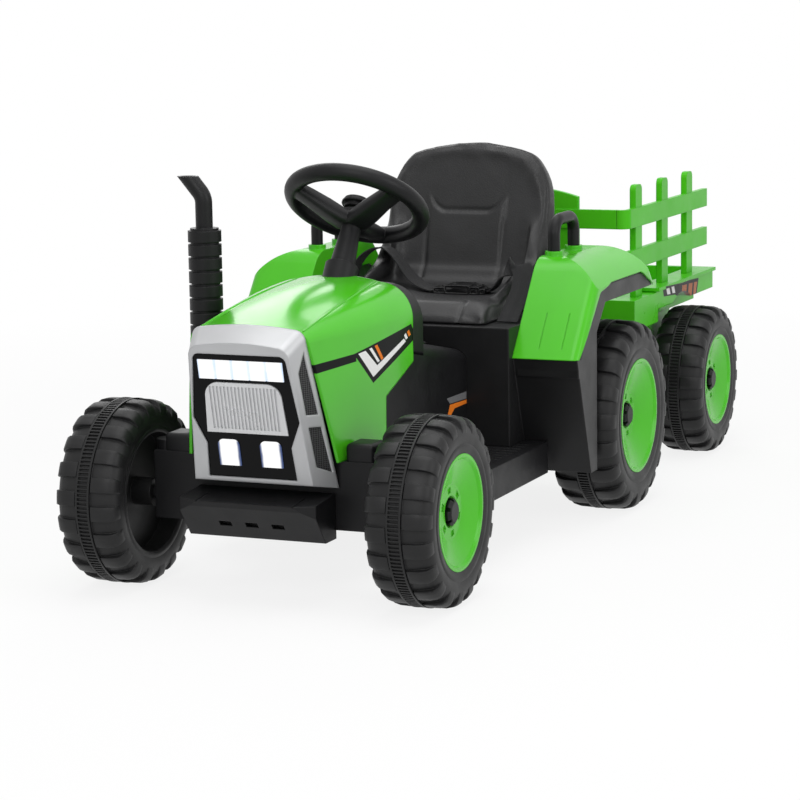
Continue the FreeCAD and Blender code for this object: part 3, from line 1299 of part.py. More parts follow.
def build_chassis():
    """Floor pan with footboards, tunnel and front rails."""
    under = D.floor_top_z - D.floor_plate
    foot_rear = D.panel_low_x + (D.fender_front_x - D.panel_low_x) / 4
    half, front = D.footboard_half, D.footboard_front_x
    rear_half = D.box_half - D.pan_inset
    corner = D.footboard_corner
    pan_outline = [
        (D.pan_rear_x, -rear_half),
        (foot_rear, -rear_half),
        (foot_rear, -half),
        (front - corner, -half),
        (front, -half + corner),
        (front, half - corner),
        (front - corner, half),
        (foot_rear, half),
        (foot_rear, rear_half),
        (D.pan_rear_x, rear_half),
    ]
    pan = prism("floor_pan", "XY", pan_outline, under, D.floor_top_z)
    skirts = []
    for side, words in ((1, "left"), (-1, "right")):
        span = sorted(((half - D.skirt_wall) * side, half * side), key=lambda item: item.value)
        skirts.append(box(f"skirt_{words}", (foot_rear, front - corner), span,
                          (D.floor_top_z - D.skirt_drop, under)))
    outline = [
        (D.box_front_x, D.floor_top_z),
        (D.box_front_x, D.tunnel_rear_top_z),
        (D.tunnel_peak_x, D.tunnel_peak_z),
        (D.tunnel_peak_x + D.tunnel_flat, D.tunnel_peak_z),
        (D.tunnel_front_x, D.tunnel_front_z),
        (D.tunnel_front_x, D.floor_top_z),
    ]
    blank = prism("tunnel_blank", "XZ", outline, -D.tunnel_half, D.tunnel_half)
    middle = D.tunnel_half.value

    def upper_side(edge):
        ends = [vertex.Point for vertex in edge.Vertexes]
        beside = all(abs(abs(point.y) - middle) < NEAR for point in ends)
        return beside and min(point.z for point in ends) > D.tunnel_front_z.value - NEAR

    tunnel = rounded("tunnel_rounded", blank, D.tunnel_corner, upper_side)
    wall = D.wall
    hollow = prism("tunnel_hollow", "XZ", [
        (D.box_front_x + wall, under - D.overrun),
        (D.box_front_x + wall, D.tunnel_rear_top_z - wall * 2),
        (D.tunnel_peak_x, D.tunnel_peak_z - wall * 2),
        (D.tunnel_peak_x + D.tunnel_flat - wall, D.tunnel_peak_z - wall * 2),
        (D.tunnel_front_x - wall, D.tunnel_front_z - wall * 2),
        (D.tunnel_front_x + D.overrun, D.tunnel_front_z - wall * 2),
        (D.tunnel_front_x + D.overrun, under - D.overrun),
    ], -D.tunnel_half + wall + D.tunnel_corner / 4, D.tunnel_half - wall - D.tunnel_corner / 4)
    shaft_way = on_column("shaft_way", D.shaft_radius + D.shaft_room, SHAFT_REACH - D.column_foot_drop)
    rails = []
    rail_end = D.front_axle_x - D.beam_rear_reach
    for side, words in ((1, "left"), (-1, "right")):
        span = sorted((D.rail_inner * side, D.rail_outer * side), key=lambda item: item.value)
        rails.append(box(f"rail_{words}", (front - corner, rail_end), span, (D.rail_bottom_z, D.rail_top_z)))
    ears = []
    pin_holes = []
    ear_middle = D.pedal_y
    reach = D.pedal_width / 2 + D.fit_gap
    pin_z = D.floor_top_z + D.pedal_lift
    for side, words in ((1, "inner"), (-1, "outer")):
        span = sorted((ear_middle + reach * side, ear_middle + (reach + D.pedal_ear) * side),
                      key=lambda item: item.value)
        ears.append(box(f"pedal_ear_{words}",
                        (D.pedal_x - D.pedal_ear_half, D.pedal_x + D.pedal_ear_half), span,
                        (under, pin_z + D.pedal_barrel)))
    ear_span = reach + D.pedal_ear + D.overrun
    pin_holes.append(rod("pedal_hole", D.pedal_pin_radius + D.running_gap, "Y", ear_middle - ear_span,
                         ear_middle + ear_span, (D.pedal_x, pin_z)))
    grooves = []
    for index in range(int(D.groove_count.value)):
        start = foot_rear + D.groove_margin * 2 + D.groove_pitch * index
        for side, words in ((1, "left"), (-1, "right")):
            span = sorted(((D.tunnel_half + D.groove_margin) * side, (half - D.groove_margin) * side),
                          key=lambda item: item.value)
            grooves.append(box(f"grip_groove_{words}_{index}", (start, start + D.groove_width), span,
                               (D.floor_top_z - D.groove_depth, D.floor_top_z + D.overrun)))
    shell = cut("tunnel_shell", tunnel, hollow)
    whole = fuse("chassis_fused", pan, *skirts, shell, *rails, *ears)
    node("chassis", cut("chassis_cut", whole, shaft_way, *pin_holes, group("grip_grooves", *grooves)))
    return tunnel


def fender_outline(inset):
    """Upper line of the fender from its front edge to its rear edge, drawn in by an inset."""
    return [
        (D.fender_front_x - inset, D.fender_front_z),
        (D.fender_knee_x - inset / 2, D.fender_top_z - inset),
        (D.fender_tail_knee_x + inset / 2, D.fender_top_z - inset),
        (D.fender_tail_x + inset, D.well_roof_z),
    ]


def under_crown(name, blank, inset):
    """What lies below the fender's crowned top, drawn in by an inset."""
    outer, inner = D.fender_outer - inset, D.box_half - D.overrun
    top = D.fender_top_z - inset
    space = prism(f"{name}_space", "YZ", [
        (inner, D.panel_low_z),
        (outer + D.overrun, D.panel_low_z),
        (outer + D.overrun, D.fender_shoulder_z),
        (outer, D.fender_shoulder_z),
        (D.box_half + D.fender_crown_offset, top),
        (inner, top + D.overrun),
    ], D.fender_tail_x - D.overrun, D.fender_front_x + D.overrun, {3: (D.fender_crown_radius - inset, 1)})
    return common(name, blank, space)


def build_rear():
    """Seat box with side panels, the two fenders and their grab handles."""
    wall = D.wall
    profile = [
        (D.box_front_x, D.floor_top_z),
        (D.box_front_x, D.box_top_z),
        (D.box_rear_x + D.box_back_drop, D.box_top_z),
        (D.box_rear_x, D.box_top_z - D.box_back_drop),
        (D.box_rear_x, D.floor_top_z),
    ]
    outside = prism("seat_box_outside", "XZ", profile, -D.box_half, D.box_half)
    inside = prism("seat_box_inside", "XZ", [
        (D.box_front_x - wall, D.floor_top_z - D.overrun),
        (D.box_front_x - wall, D.box_top_z - wall),
        (D.box_rear_x + D.box_back_drop + wall / 2, D.box_top_z - wall),
        (D.box_rear_x + wall, D.box_top_z - D.box_back_drop - wall / 2),
        (D.box_rear_x + wall, D.floor_top_z - D.overrun),
    ], -D.box_half + wall, D.box_half - wall)
    inset = wall + D.fit_gap
    front, knee, tail_knee, tail = fender_outline(inset)
    panel_top = D.fender_front_z - D.fit_gap
    slope = (D.fender_front_x - D.panel_low_x) / (D.fender_front_z - D.panel_low_z)
    deck_foot = [
        (D.panel_low_x + slope * (D.well_knee_z / 2), D.panel_low_z + D.well_knee_z / 2),
        (tail[0] + D.fit_gap, D.well_roof_z + D.fit_gap),
        (D.well_knee_x, D.well_roof_z + D.fit_gap),
        (D.panel_rear_x, D.well_knee_z),
        (D.panel_rear_x, D.panel_low_z + D.well_knee_z / 2),
        (front[0] - D.fender_lip / 2, front[1]),
    ]
    deck_outer = D.fender_outer - inset
    deck = prism("left_deck_blank", "XZ", [deck_foot[0], deck_foot[5], knee, tail_knee, *deck_foot[1:5]],
                 D.box_half + inset, deck_outer)
    deck = rounded("left_deck_knees", deck, D.fender_knee_radius, cross_edges(knee[1]))
    deck = rounded("left_deck_edges", deck, D.fender_edge - wall, upper_edges(deck_outer, deck_foot))
    deck = under_crown("left_deck", deck, inset)
    panel = prism("left_panel", "XZ", [
        (D.panel_low_x, D.panel_low_z),
        (D.panel_low_x + slope * (panel_top - D.panel_low_z) - inset, panel_top),
        (D.panel_rear_x, panel_top),
        (D.panel_rear_x, D.panel_low_z),
    ], D.box_half - wall, deck_outer)
    panels = [deck, panel, mirrored("right_deck", deck), mirrored("right_panel", panel)]
    axle_ways = []
    sleeve_way = D.sleeve_radius + D.axle_room
    for side, words in ((1, "left"), (-1, "right")):
        span = sorted(((D.box_half - wall - D.overrun) * side, (D.box_half + D.overrun) * side),
                      key=lambda item: item.value)
        axle_ways.append(rod(f"axle_way_{words}", sleeve_way, "Y", *span, (REAR_AXLE_X, D.rear_tyre_radius)))
        axle_ways.append(box(f"axle_slot_{words}", (REAR_AXLE_X - sleeve_way, REAR_AXLE_X + sleeve_way), span,
                             (D.floor_top_z - D.overrun, D.rear_tyre_radius)))
    shell = cut("seat_box_shell", outside, inside)
    node("rear_body", cut("rear_body_cut", fuse("rear_body_fused", shell, *panels), *axle_ways))

    front, knee, tail_knee, tail = fender_outline(ZERO)
    skirt_z = D.fender_top_z - D.fender_skirt
    outline = [
        front, knee, tail_knee, tail,
        (D.fender_tail_x + D.fender_lip, D.well_roof_z),
        (D.fender_tail_knee_x + D.fender_lip, skirt_z),
        (D.fender_knee_x - D.fender_knee_radius, skirt_z),
        (D.fender_knee_x + D.fender_lip, skirt_z - D.fender_lip),
        (D.fender_front_x - D.fender_lip, D.fender_front_z),
    ]
    blank = prism("fender_blank", "XZ", outline, D.box_half, D.fender_outer)
    soft = rounded("fender_knees", blank, D.fender_knee_radius, cross_edges(D.fender_top_z))
    soft = rounded("fender_edges", soft, D.fender_edge,
                   upper_edges(D.fender_outer, [front, tail, *outline[4:]]))
    soft = under_crown("fender_crowned", soft, ZERO)
    front, knee, tail_knee, tail = fender_outline(wall)
    slope = (front[0] - knee[0]) / (knee[1] - front[1])
    tail_slope = (tail_knee[0] - tail[0]) / (tail_knee[1] - tail[1])
    hollow_foot = [
        (front[0] + slope * D.overrun, front[1] - D.overrun),
        (tail[0] - tail_slope * D.overrun, tail[1] - D.overrun),
        (D.fender_tail_knee_x, D.fender_front_z - D.overrun * 2),
    ]
    hollow = prism("fender_hollow_blank", "XZ", [hollow_foot[0], knee, tail_knee, *hollow_foot[1:]],
                   D.box_half + wall, D.fender_outer - wall)
    hollow = rounded("fender_hollow_knees", hollow, D.fender_knee_radius, cross_edges(knee[1]))
    hollow = rounded("fender_hollow_edges", hollow, D.fender_edge - wall,
                     upper_edges(D.fender_outer - wall, hollow_foot))
    hollow = under_crown("fender_hollow", hollow, wall)
    creases = []
    for index, share in enumerate(CREASE_SHARES):
        at = D.box_half + (D.fender_outer - D.box_half) * share
        crease = prism(f"crease_{index}", "XY", [
            (-D.fender_crease_depth, ZERO),
            (D.overrun, -D.fender_crease_width),
            (D.overrun, D.fender_crease_width),
        ], D.fender_lip * 2, D.fender_skirt * 2)
        turn = atan2((D.fender_front_x - D.fender_knee_x).value, (D.fender_top_z - D.fender_front_z).value)
        crease.Placement = FreeCAD.Placement(
            Vector(D.fender_front_x.value, at.value, D.fender_front_z.value),
            FreeCAD.Rotation(Vector(0, -1, 0), degrees(turn)))
        creases.append(crease)
    handle_y = D.box_half + D.handle_offset
    sockets = [rod(f"handle_socket_{words}", D.socket_radius, "Z", D.fender_top_z - wall,
                   D.fender_top_z + D.socket_height, (x, handle_y))
               for words, x in (("front", D.handle_front_x), ("rear", D.handle_rear_x))]
    with_sockets = fuse("fender_with_sockets", cut("fender_shell", soft, hollow), *sockets)
    fender = cut("left_fender_cut", with_sockets, *creases)
    node("left_fender", fender)
    node("right_fender", mirrored("right_fender_mirror", fender))

    foot = D.fender_top_z + D.socket_height
    handle = tube("left_handle_tube", D.handle_radius, [
        (D.handle_front_x, handle_y, foot),
        (D.handle_front_x, handle_y, D.handle_top_z),
        (D.handle_rear_x, handle_y, D.handle_top_z),
        (D.handle_rear_x, handle_y, foot),
    ], D.handle_bend)
    node("left_grab_handle", handle)
    node("right_grab_handle", mirrored("right_handle_mirror", handle))


CREASE_SHARES = (0.36, 0.70)


def build_seat():
    """One-piece seat with backrest and bolsters, the belt and its buckle."""
    low = D.box_top_z
    top = low + D.seat_rise
    waist = D.box_half - D.seat_inset
    lean = FreeCAD.Rotation(Vector(0, -1, 0), D.seat_back_lean.value)
    sink = D.seat_back_plate * sin_of(D.seat_back_lean)
    cushion = prism("cushion", "XZ", [
        (D.seat_front_x, low),
        (D.seat_front_x, low + D.seat_lip_height),
        (D.seat_front_x - D.seat_rise, top),
        (D.seat_back_foot_x, top),
        (D.seat_back_foot_x - D.seat_back_plate, low),
    ], -waist, waist)
    height, half = D.seat_back_height, D.box_half - D.seat_back_inset
    head = half - D.seat_head_inset
    shoulder = height * BACK_SHOULDER_SHARE

    def back_outline(inset):
        crown = (head * head + D.seat_back_crown * D.seat_back_crown) / (D.seat_back_crown * 2)
        side = height * 2
        corner = (half - head) * BACK_CORNER_SHARE
        return [
            (-(waist - inset), inset),
            (waist - inset, inset),
            (half - inset, shoulder),
            (head - inset, height - D.seat_back_crown - inset),
            (-(head - inset), height - D.seat_back_crown - inset),
            (-(half - inset), shoulder),
        ], {1: (side, 1), 2: (corner, 1), 3: (crown, 1), 4: (corner, 1), 5: (side, 1)}

    points, arcs = back_outline(ZERO)
    back = prism("backrest_blank", "YZ", points, -D.seat_back_plate, ZERO, arcs)
    points, arcs = back_outline(D.seat_rim)
    recess = prism("backrest_recess", "YZ", points, -D.seat_rim_depth, D.overrun, arcs)
    backrest = cut("backrest", rounded("backrest_soft", back, D.seat_edge, lambda edge: True), recess)
    place(backrest, D.seat_back_foot_x, ZERO, top - sink, lean)
    wings = []
    for side, words in ((1, "left"), (-1, "right")):
        span = sorted(((waist - D.wing_width) * side, waist * side), key=lambda item: item.value)
        rise = D.wing_height * sin_of(D.seat_back_lean)
        wing = prism(f"bolster_blank_{words}", "XZ", [
            (D.seat_back_foot_x - D.seat_rim, low + D.wall),
            (D.wing_front_x + D.seat_rise, low + D.wall),
            (D.wing_front_x, top + D.wall),
            (D.seat_back_foot_x - rise + D.seat_rim, top + D.wing_height),
            (D.seat_back_foot_x - rise - D.seat_rim, top + D.wing_height),
        ], *span)

        def upper(edge):
            return edge.CenterOfMass.z > D.box_top_z.value + D.seat_rise.value / 2

        wings.append(rounded(f"bolster_{words}", wing, D.seat_edge, upper))

    def front_edge(edge):
        point = edge.CenterOfMass
        ahead = D.seat_front_x.value - D.seat_rise.value * LIP_SHARE
        return point.x > ahead and point.z > low.value + D.wall.value

    soft = rounded("cushion_soft", cushion, D.seat_edge, front_edge)
    base = box("seat_base_space", (D.box_rear_x, D.box_front_x), (-half, half),
               (low - D.seat_back_height, low))
    node("seat", cut("seat_cut", fuse("seat_fused", soft, backrest, *wings), base))

    path_low = top + D.strap_lift
    arch = low + D.strap_arch
    start, end = D.strap_x - D.strap_width / 2, D.strap_x + D.strap_width / 2
    plate = D.strap_plate
    bend = D.strap_bend
    straps = []
    anchor = D.box_half - D.strap_inset
    rest = anchor - bend * STRAP_REST_SHARE
    buckle_ends = (rest - D.buckle_gap - D.buckle_length, rest - D.buckle_gap)
    for side, inner, words in ((-1, buckle_ends[0], "right"), (1, buckle_ends[1], "left")):
        foot = anchor * side
        crest = (anchor - bend) * side
        inside = (anchor - bend * 2) * side
        landing = rest * side
        points = [
            (foot, low),
            (foot, arch - bend),
            (crest, arch),
            (inside, arch - bend),
            (landing, path_low + plate),
            (inner, path_low + plate),
            (inner, path_low),
            (landing + plate * side, path_low),
            (inside + plate * side, arch - bend),
            (crest, arch - plate),
            (foot - plate * side, arch - bend),
            (foot - plate * side, low),
        ]
        turn = -side
        straps.append(prism(f"strap_{words}", "YZ", points, start, end, {
            1: (bend, -turn), 2: (bend, -turn), 8: (bend - plate, turn), 9: (bend - plate, turn)}))
    node("seat_belt", group("seat_belt_group", *straps))
    block = box("buckle_block", (D.strap_x - D.buckle_width / 2, D.strap_x + D.buckle_width / 2), buckle_ends,
                (path_low, path_low + D.buckle_height))
    quarter = path_low.value + D.buckle_height.value / 4
    node("belt_buckle", rounded("belt_buckle_soft", block, D.buckle_edge,
                                lambda edge: edge.CenterOfMass.z > quarter))


LIP_SHARE = 1.2
STRAP_REST_SHARE = 2.4
BACK_SHOULDER_SHARE = 0.56
BACK_CORNER_SHARE = 3.2


def build_dashboard(tunnel):
    """Dashboard under the rear of the hood, with its column boss, power button and direction rocker."""
    rear, front = D.dash_rear_x, D.hood_rear_x + D.dash_lap
    head, corner = D.tunnel_half, D.hood_rear_corner
    eaves = D.hood_rear_top_z - D.dash_drop
    low = D.tunnel_rear_top_z
    bulge = corner * HOOD_CORNER_SHARE
    blank = prism("dash_blank", "YZ", [
        (-head, low),
        (head, low),
        (head, eaves - corner),
        (head - corner, eaves),
        (-(head - corner), eaves),
        (-head, eaves - corner),
    ], rear, front, {2: (bulge, 1), 4: (bulge, 1)})
    boss = on_column("column_boss", D.dash_boss_radius, D.dash_boss_radius * 2)
    way = on_column("dash_shaft_way", D.shaft_radius + D.shaft_room, SHAFT_REACH - D.column_foot_drop)
    bore_end = rear - D.power_proud + D.power_length + D.power_travel + D.fit_gap
    button_bore = rod("power_bore", D.power_radius + D.fit_gap, "X", rear - D.overrun, bore_end,
                      (D.power_y, D.power_z))
    axis_x = rear + D.switch_sink
    half_width = D.switch_width / 2 + D.fit_gap
    rocker_bore = rod("rocker_bore", D.switch_radius + D.fit_gap, "Y", D.switch_y - half_width,
                      D.switch_y + half_width, (axis_x, D.power_z))
    node("dashboard", cut("dashboard_cut", fuse("dash_fused", blank, boss), tunnel, way, button_bore,
                          rocker_bore))
    node("power_button", rounded(
        "power_button_soft",
        rod("power_button_rod", D.power_radius, "X", rear - D.power_proud,
            rear - D.power_proud + D.power_length, (D.power_y, D.power_z)),
        D.wall / 2, lambda edge: edge.CenterOfMass.x < rear.value))
    drum = rod("rocker_drum", D.switch_radius, "Y",
               D.switch_y - D.switch_width / 2, D.switch_y + D.switch_width / 2,
               (axis_x, D.power_z))
    slope = D.switch_radius * sin_of(D.switch_face_angle)
    rocker_face = prism("rocker_face", "XZ", [
        (axis_x - D.switch_radius * 2, D.power_z - D.switch_radius * 2),
        (axis_x - D.switch_radius, D.power_z - D.switch_radius),
        (axis_x - D.switch_radius + slope, D.power_z),
        (axis_x - D.switch_radius, D.power_z + D.switch_radius),
        (axis_x - D.switch_radius * 2, D.power_z + D.switch_radius * 2),
    ], D.switch_y - D.switch_width, D.switch_y + D.switch_width)
    node("direction_switch", cut("direction_switch_cut", drum, rocker_face))


def build_exhaust(hood_outer):
    """Ribbed stack with its slanted pipe, held by an arm on the hood's side."""
    stack = new_body("stack_body")
    rib = (D.stack_top_z - D.stack_foot_z) / D.stack_ribs
    points = [(ZERO, ZERO)]
    for index in range(int(D.stack_ribs.value)):
        foot = rib * index
        points += [
            (foot, D.stack_radius),
            (foot + rib - D.stack_groove, D.stack_radius),
            (foot + rib - D.stack_groove, D.stack_radius - D.stack_groove),
            (foot + rib, D.stack_radius - D.stack_groove),
        ]
    points.append((rib * D.stack_ribs, ZERO))
    profile = body_sketch(stack, "stack_profile", "XZ", points)
    turned(stack, "stack_turned", profile)
    place(stack, D.stack_x, D.stack_y, D.stack_foot_z, FreeCAD.Rotation(Vector(0, -1, 0), 90))
    pipe = tube("exhaust_pipe", D.pipe_radius, [
        (D.stack_x, D.stack_y, D.stack_top_z - D.stack_groove),
        (D.stack_x, D.stack_y, D.pipe_bend_z),
        (D.stack_x, D.stack_y - D.pipe_reach * 2, D.pipe_top_z + D.pipe_radius),
    ], D.pipe_radius * 2)
    slant = box("pipe_slant", (D.stack_x - D.stack_radius * 2, D.stack_x + D.stack_radius * 2),
                (D.stack_y - D.stack_radius * 4, D.stack_y + D.stack_radius * 4),
                (D.pipe_top_z - D.pipe_radius / 2, D.pipe_top_z + D.stack_radius * 4))
    bore = tube("pipe_bore_tube", D.pipe_bore, [
        (D.stack_x, D.stack_y, D.pipe_bend_z),
        (D.stack_x, D.stack_y - D.pipe_reach * 2, D.pipe_top_z + D.pipe_radius),
    ], D.pipe_radius)
    bore_limit = box("pipe_bore_limit", (D.stack_x - D.stack_radius, D.stack_x + D.stack_radius),
                     (D.stack_y - D.stack_radius * 4, D.stack_y + D.stack_radius),
                     (D.pipe_top_z - D.pipe_radius / 2 - D.pipe_mouth_depth,
                      D.pipe_top_z + D.stack_radius * 2))
    mouth = common("pipe_mouth", bore, bore_limit)
    arm = cut("stack_arm", rod("stack_arm_rod", D.elbow_radius, "Y", D.stack_y, -D.hood_front_half / 2,
                               (D.stack_x, D.elbow_z)), hood_outer)
    node("exhaust_stack", cut("exhaust_cut", fuse("exhaust_fused", stack, pipe, arm), slant, mouth))


def build_bumper():
    """Front bumper with set-back corners, seams and slots in its chin."""
    back = D.front_axle_x + D.beam_front_reach
    blank = prism("bumper_blank", "XZ", [
        (back, D.bumper_bottom_z),
        (D.bumper_chin_x, D.bumper_bottom_z),
        (D.bumper_front_x - D.bumper_nose / 2, D.bumper_top_z - D.bumper_nose),
        (D.bumper_front_x, D.bumper_top_z),
        (back, D.bumper_top_z + D.bumper_rise),
    ], -D.bumper_half, D.bumper_half)
    plan = prism("bumper_plan", "XY", [
        (back, -D.bumper_half),
        (D.bumper_front_x - D.bumper_corner, -D.bumper_half),
        (D.bumper_front_x, -D.bumper_middle_half),
        (D.bumper_front_x, D.bumper_middle_half),
        (D.bumper_front_x - D.bumper_corner, D.bumper_half),
        (back, D.bumper_half),
    ], D.bumper_bottom_z - D.overrun, D.bumper_top_z + D.bumper_rise + D.overrun)
    cuts = []
    for side, words in ((1, "left"), (-1, "right")):
        middle = D.bumper_middle_half * side
        cuts.append(box(f"bumper_seam_{words}", (D.bumper_chin_x, D.bumper_front_x + D.overrun),
                        (middle - D.bumper_seam / 2, middle + D.bumper_seam / 2),
                        (D.bumper_top_z - D.bumper_seam, D.bumper_top_z + D.bumper_rise)))
    for index in (-1, 0, 1):
        middle = D.bumper_slot_y * index
        height = D.bumper_bottom_z + (D.bumper_top_z - D.bumper_bottom_z) / 3
        cuts.append(box(f"bumper_slot_{index + 1}",
                        (D.bumper_chin_x + D.bumper_slot_depth / 2, D.bumper_front_x + D.overrun),
                        (middle - D.bumper_slot_width / 2, middle + D.bumper_slot_width / 2),
                        (height, height + D.bumper_slot_height)))
    node("front_bumper", cut("front_bumper_cut", common("bumper_form", blank, plan), *cuts))


def build_pedal():
    """Drive pedal on the right footboard, hinged at its heel."""
    z = D.floor_top_z + D.pedal_lift
    half = D.pedal_width / 2
    low, high = D.pedal_y - half, D.pedal_y + half
    turn = FreeCAD.Rotation(Vector(0, -1, 0), D.pedal_rise.value)
    plate = box("pedal_plate_box", (ZERO, D.pedal_length), (-half, half), (ZERO, D.pedal_plate))
    ribs = []
    pitch = D.pedal_length / (D.pedal_ribs + 1)
    for index in range(1, int(D.pedal_ribs.value) + 1):
        ribs.append(box(f"pedal_rib_{index}", (pitch * index, pitch * index + D.pedal_rib_width),
                        (-half + D.pedal_rib_width, half - D.pedal_rib_width),
                        (D.pedal_plate / 2, D.pedal_plate + D.pedal_rib_height)))
    tread = place(fuse("pedal_tread", plate, *ribs), D.pedal_x, D.pedal_y, z, turn)
    barrel = rod("pedal_barrel_rod", D.pedal_barrel, "Y", low, high, (D.pedal_x, z))
    pin = rod("pedal_pin_rod", D.pedal_pin_radius, "Y", low - D.pedal_pin, high + D.pedal_pin, (D.pedal_x, z))
    node("foot_pedal", fuse("foot_pedal_fused", tread, barrel, pin))


def build_drive():
    """Battery, control box, rear axle and the two geared motors, inside the seat box."""
    floor = D.floor_top_z
    battery_span = (D.battery_front_x - D.battery_length, D.battery_front_x)
    case = box("battery_case", battery_span, (-D.battery_width / 2, D.battery_width / 2),
               (floor, floor + D.battery_height))
    posts = [rod(f"battery_terminal_{index}", D.terminal_radius, "Z", floor + D.battery_height,
                 floor + D.battery_height + D.terminal_height,
                 (battery_span[0] + D.battery_length / 8, D.battery_width / 4 * side))
             for index, side in enumerate((1, -1))]
    node("battery", fuse("battery_fused", case, *posts))
    lid = box("control_case", (D.control_front_x - D.control_length, D.control_front_x),
              (-D.control_width / 2, D.control_width / 2), (floor, floor + D.control_height))
    node("control_box", rounded("control_box_soft", lid, D.wall,
                                lambda edge: runs_along(edge, Vector(0, 0, 1))))

    axle_z = D.rear_tyre_radius
    end = REAR_TRACK_HALF + D.hub_face_offset + D.fit_gap
    left = axle_end("rear_axle", D.rear_axle_radius, REAR_TRACK_HALF, REAR_AXLE_X, axle_z)
    nuts = [*left, *[mirrored(f"rear_axle_end_{index}", item) for index, item in enumerate(left)]]
    node("rear_axle", fuse("rear_axle_fused", rod("rear_axle_rod", D.rear_axle_radius, "Y", -end, end,
                                                  (REAR_AXLE_X, axle_z)), *nuts))
    hub_back = wheel_back(REAR_TRACK_HALF, D.rear_tyre_width) - D.fit_gap
    outer = D.box_half - D.wall - D.gearbox_gap
    inner = outer - D.gearbox_width
    housing = box("gearbox_case", (REAR_AXLE_X - D.gearbox_rear_reach, REAR_AXLE_X + D.gearbox_front_reach),
                  (inner, outer), (floor, D.gearbox_top_z))

    def upper_across(edge):
        return runs_along(edge, Vector(0, 1, 0)) and edge.CenterOfMass.z > floor.value + D.wall.value

    soft = rounded("gearbox_soft", housing, D.motor_radius / 2, upper_across)
    motor = rod("drive_motor", D.motor_radius, "Y", inner - D.motor_length, inner,
                (REAR_AXLE_X + D.motor_reach, floor + D.motor_lift))
    sleeve = rod("drive_sleeve", D.sleeve_radius, "Y", outer, hub_back, (REAR_AXLE_X, axle_z))
    bore = rod("gearbox_bore", D.rear_axle_radius + D.running_gap, "Y", inner - D.overrun,
               hub_back + D.overrun, (REAR_AXLE_X, axle_z))
    gearbox = cut("left_gearbox", fuse("gearbox_fused", soft, motor, sleeve), bore)
    node("drive_gearboxes", group("drive_gearboxes_group", gearbox, mirrored("right_gearbox", gearbox)))


def build_hitch():
    """Fork on the tractor, and the pin that holds the drawbar in it."""
    half_eye = D.eye_plate / 2 + D.fit_gap
    low, high = D.hitch_z - half_eye - D.fork_plate, D.hitch_z + half_eye + D.fork_plate
    tongue = prism("fork_blank", "XY", [
        (HITCH_X, -D.fork_half),
        (D.box_rear_x, -D.fork_half - D.fork_root),
        (D.box_rear_x, D.fork_half + D.fork_root),
        (HITCH_X, D.fork_half),
        (HITCH_X - D.fork_half, ZERO),
    ], low, high, {3: (D.fork_half, 1), 4: (D.fork_half, 1)})
    mouth = box("fork_mouth", (HITCH_X - D.fork_half - D.overrun, HITCH_X + D.eye_radius + D.wall),
                (-D.fork_half * 3, D.fork_half * 3), (D.hitch_z - half_eye, D.hitch_z + half_eye))
    bore = rod("fork_bore", D.pin_radius + D.running_gap, "Z", low - D.overrun, high + D.overrun,
               (HITCH_X, ZERO))
    node("tow_hitch", cut("tow_hitch_cut", tongue, mouth, bore))
    node("hitch_pin", fuse(
        "hitch_pin_fused",
        rod("hitch_pin_shank", D.pin_radius, "Z", low - D.pin_tail, high, (HITCH_X, ZERO)),
        rod("hitch_pin_head", D.pin_head_radius, "Z", high, high + D.pin_head, (HITCH_X, ZERO)),
        rod("hitch_pin_grip", D.pin_grip_radius, "Z", high + D.pin_head, high + D.pin_head + D.pin_grip,
            (HITCH_X, ZERO)),
        rod("hitch_pin_knob", D.pin_head_radius, "Z", high + D.pin_head + D.pin_grip,
            high + D.pin_head * 2 + D.pin_grip, (HITCH_X, ZERO)),
    ))


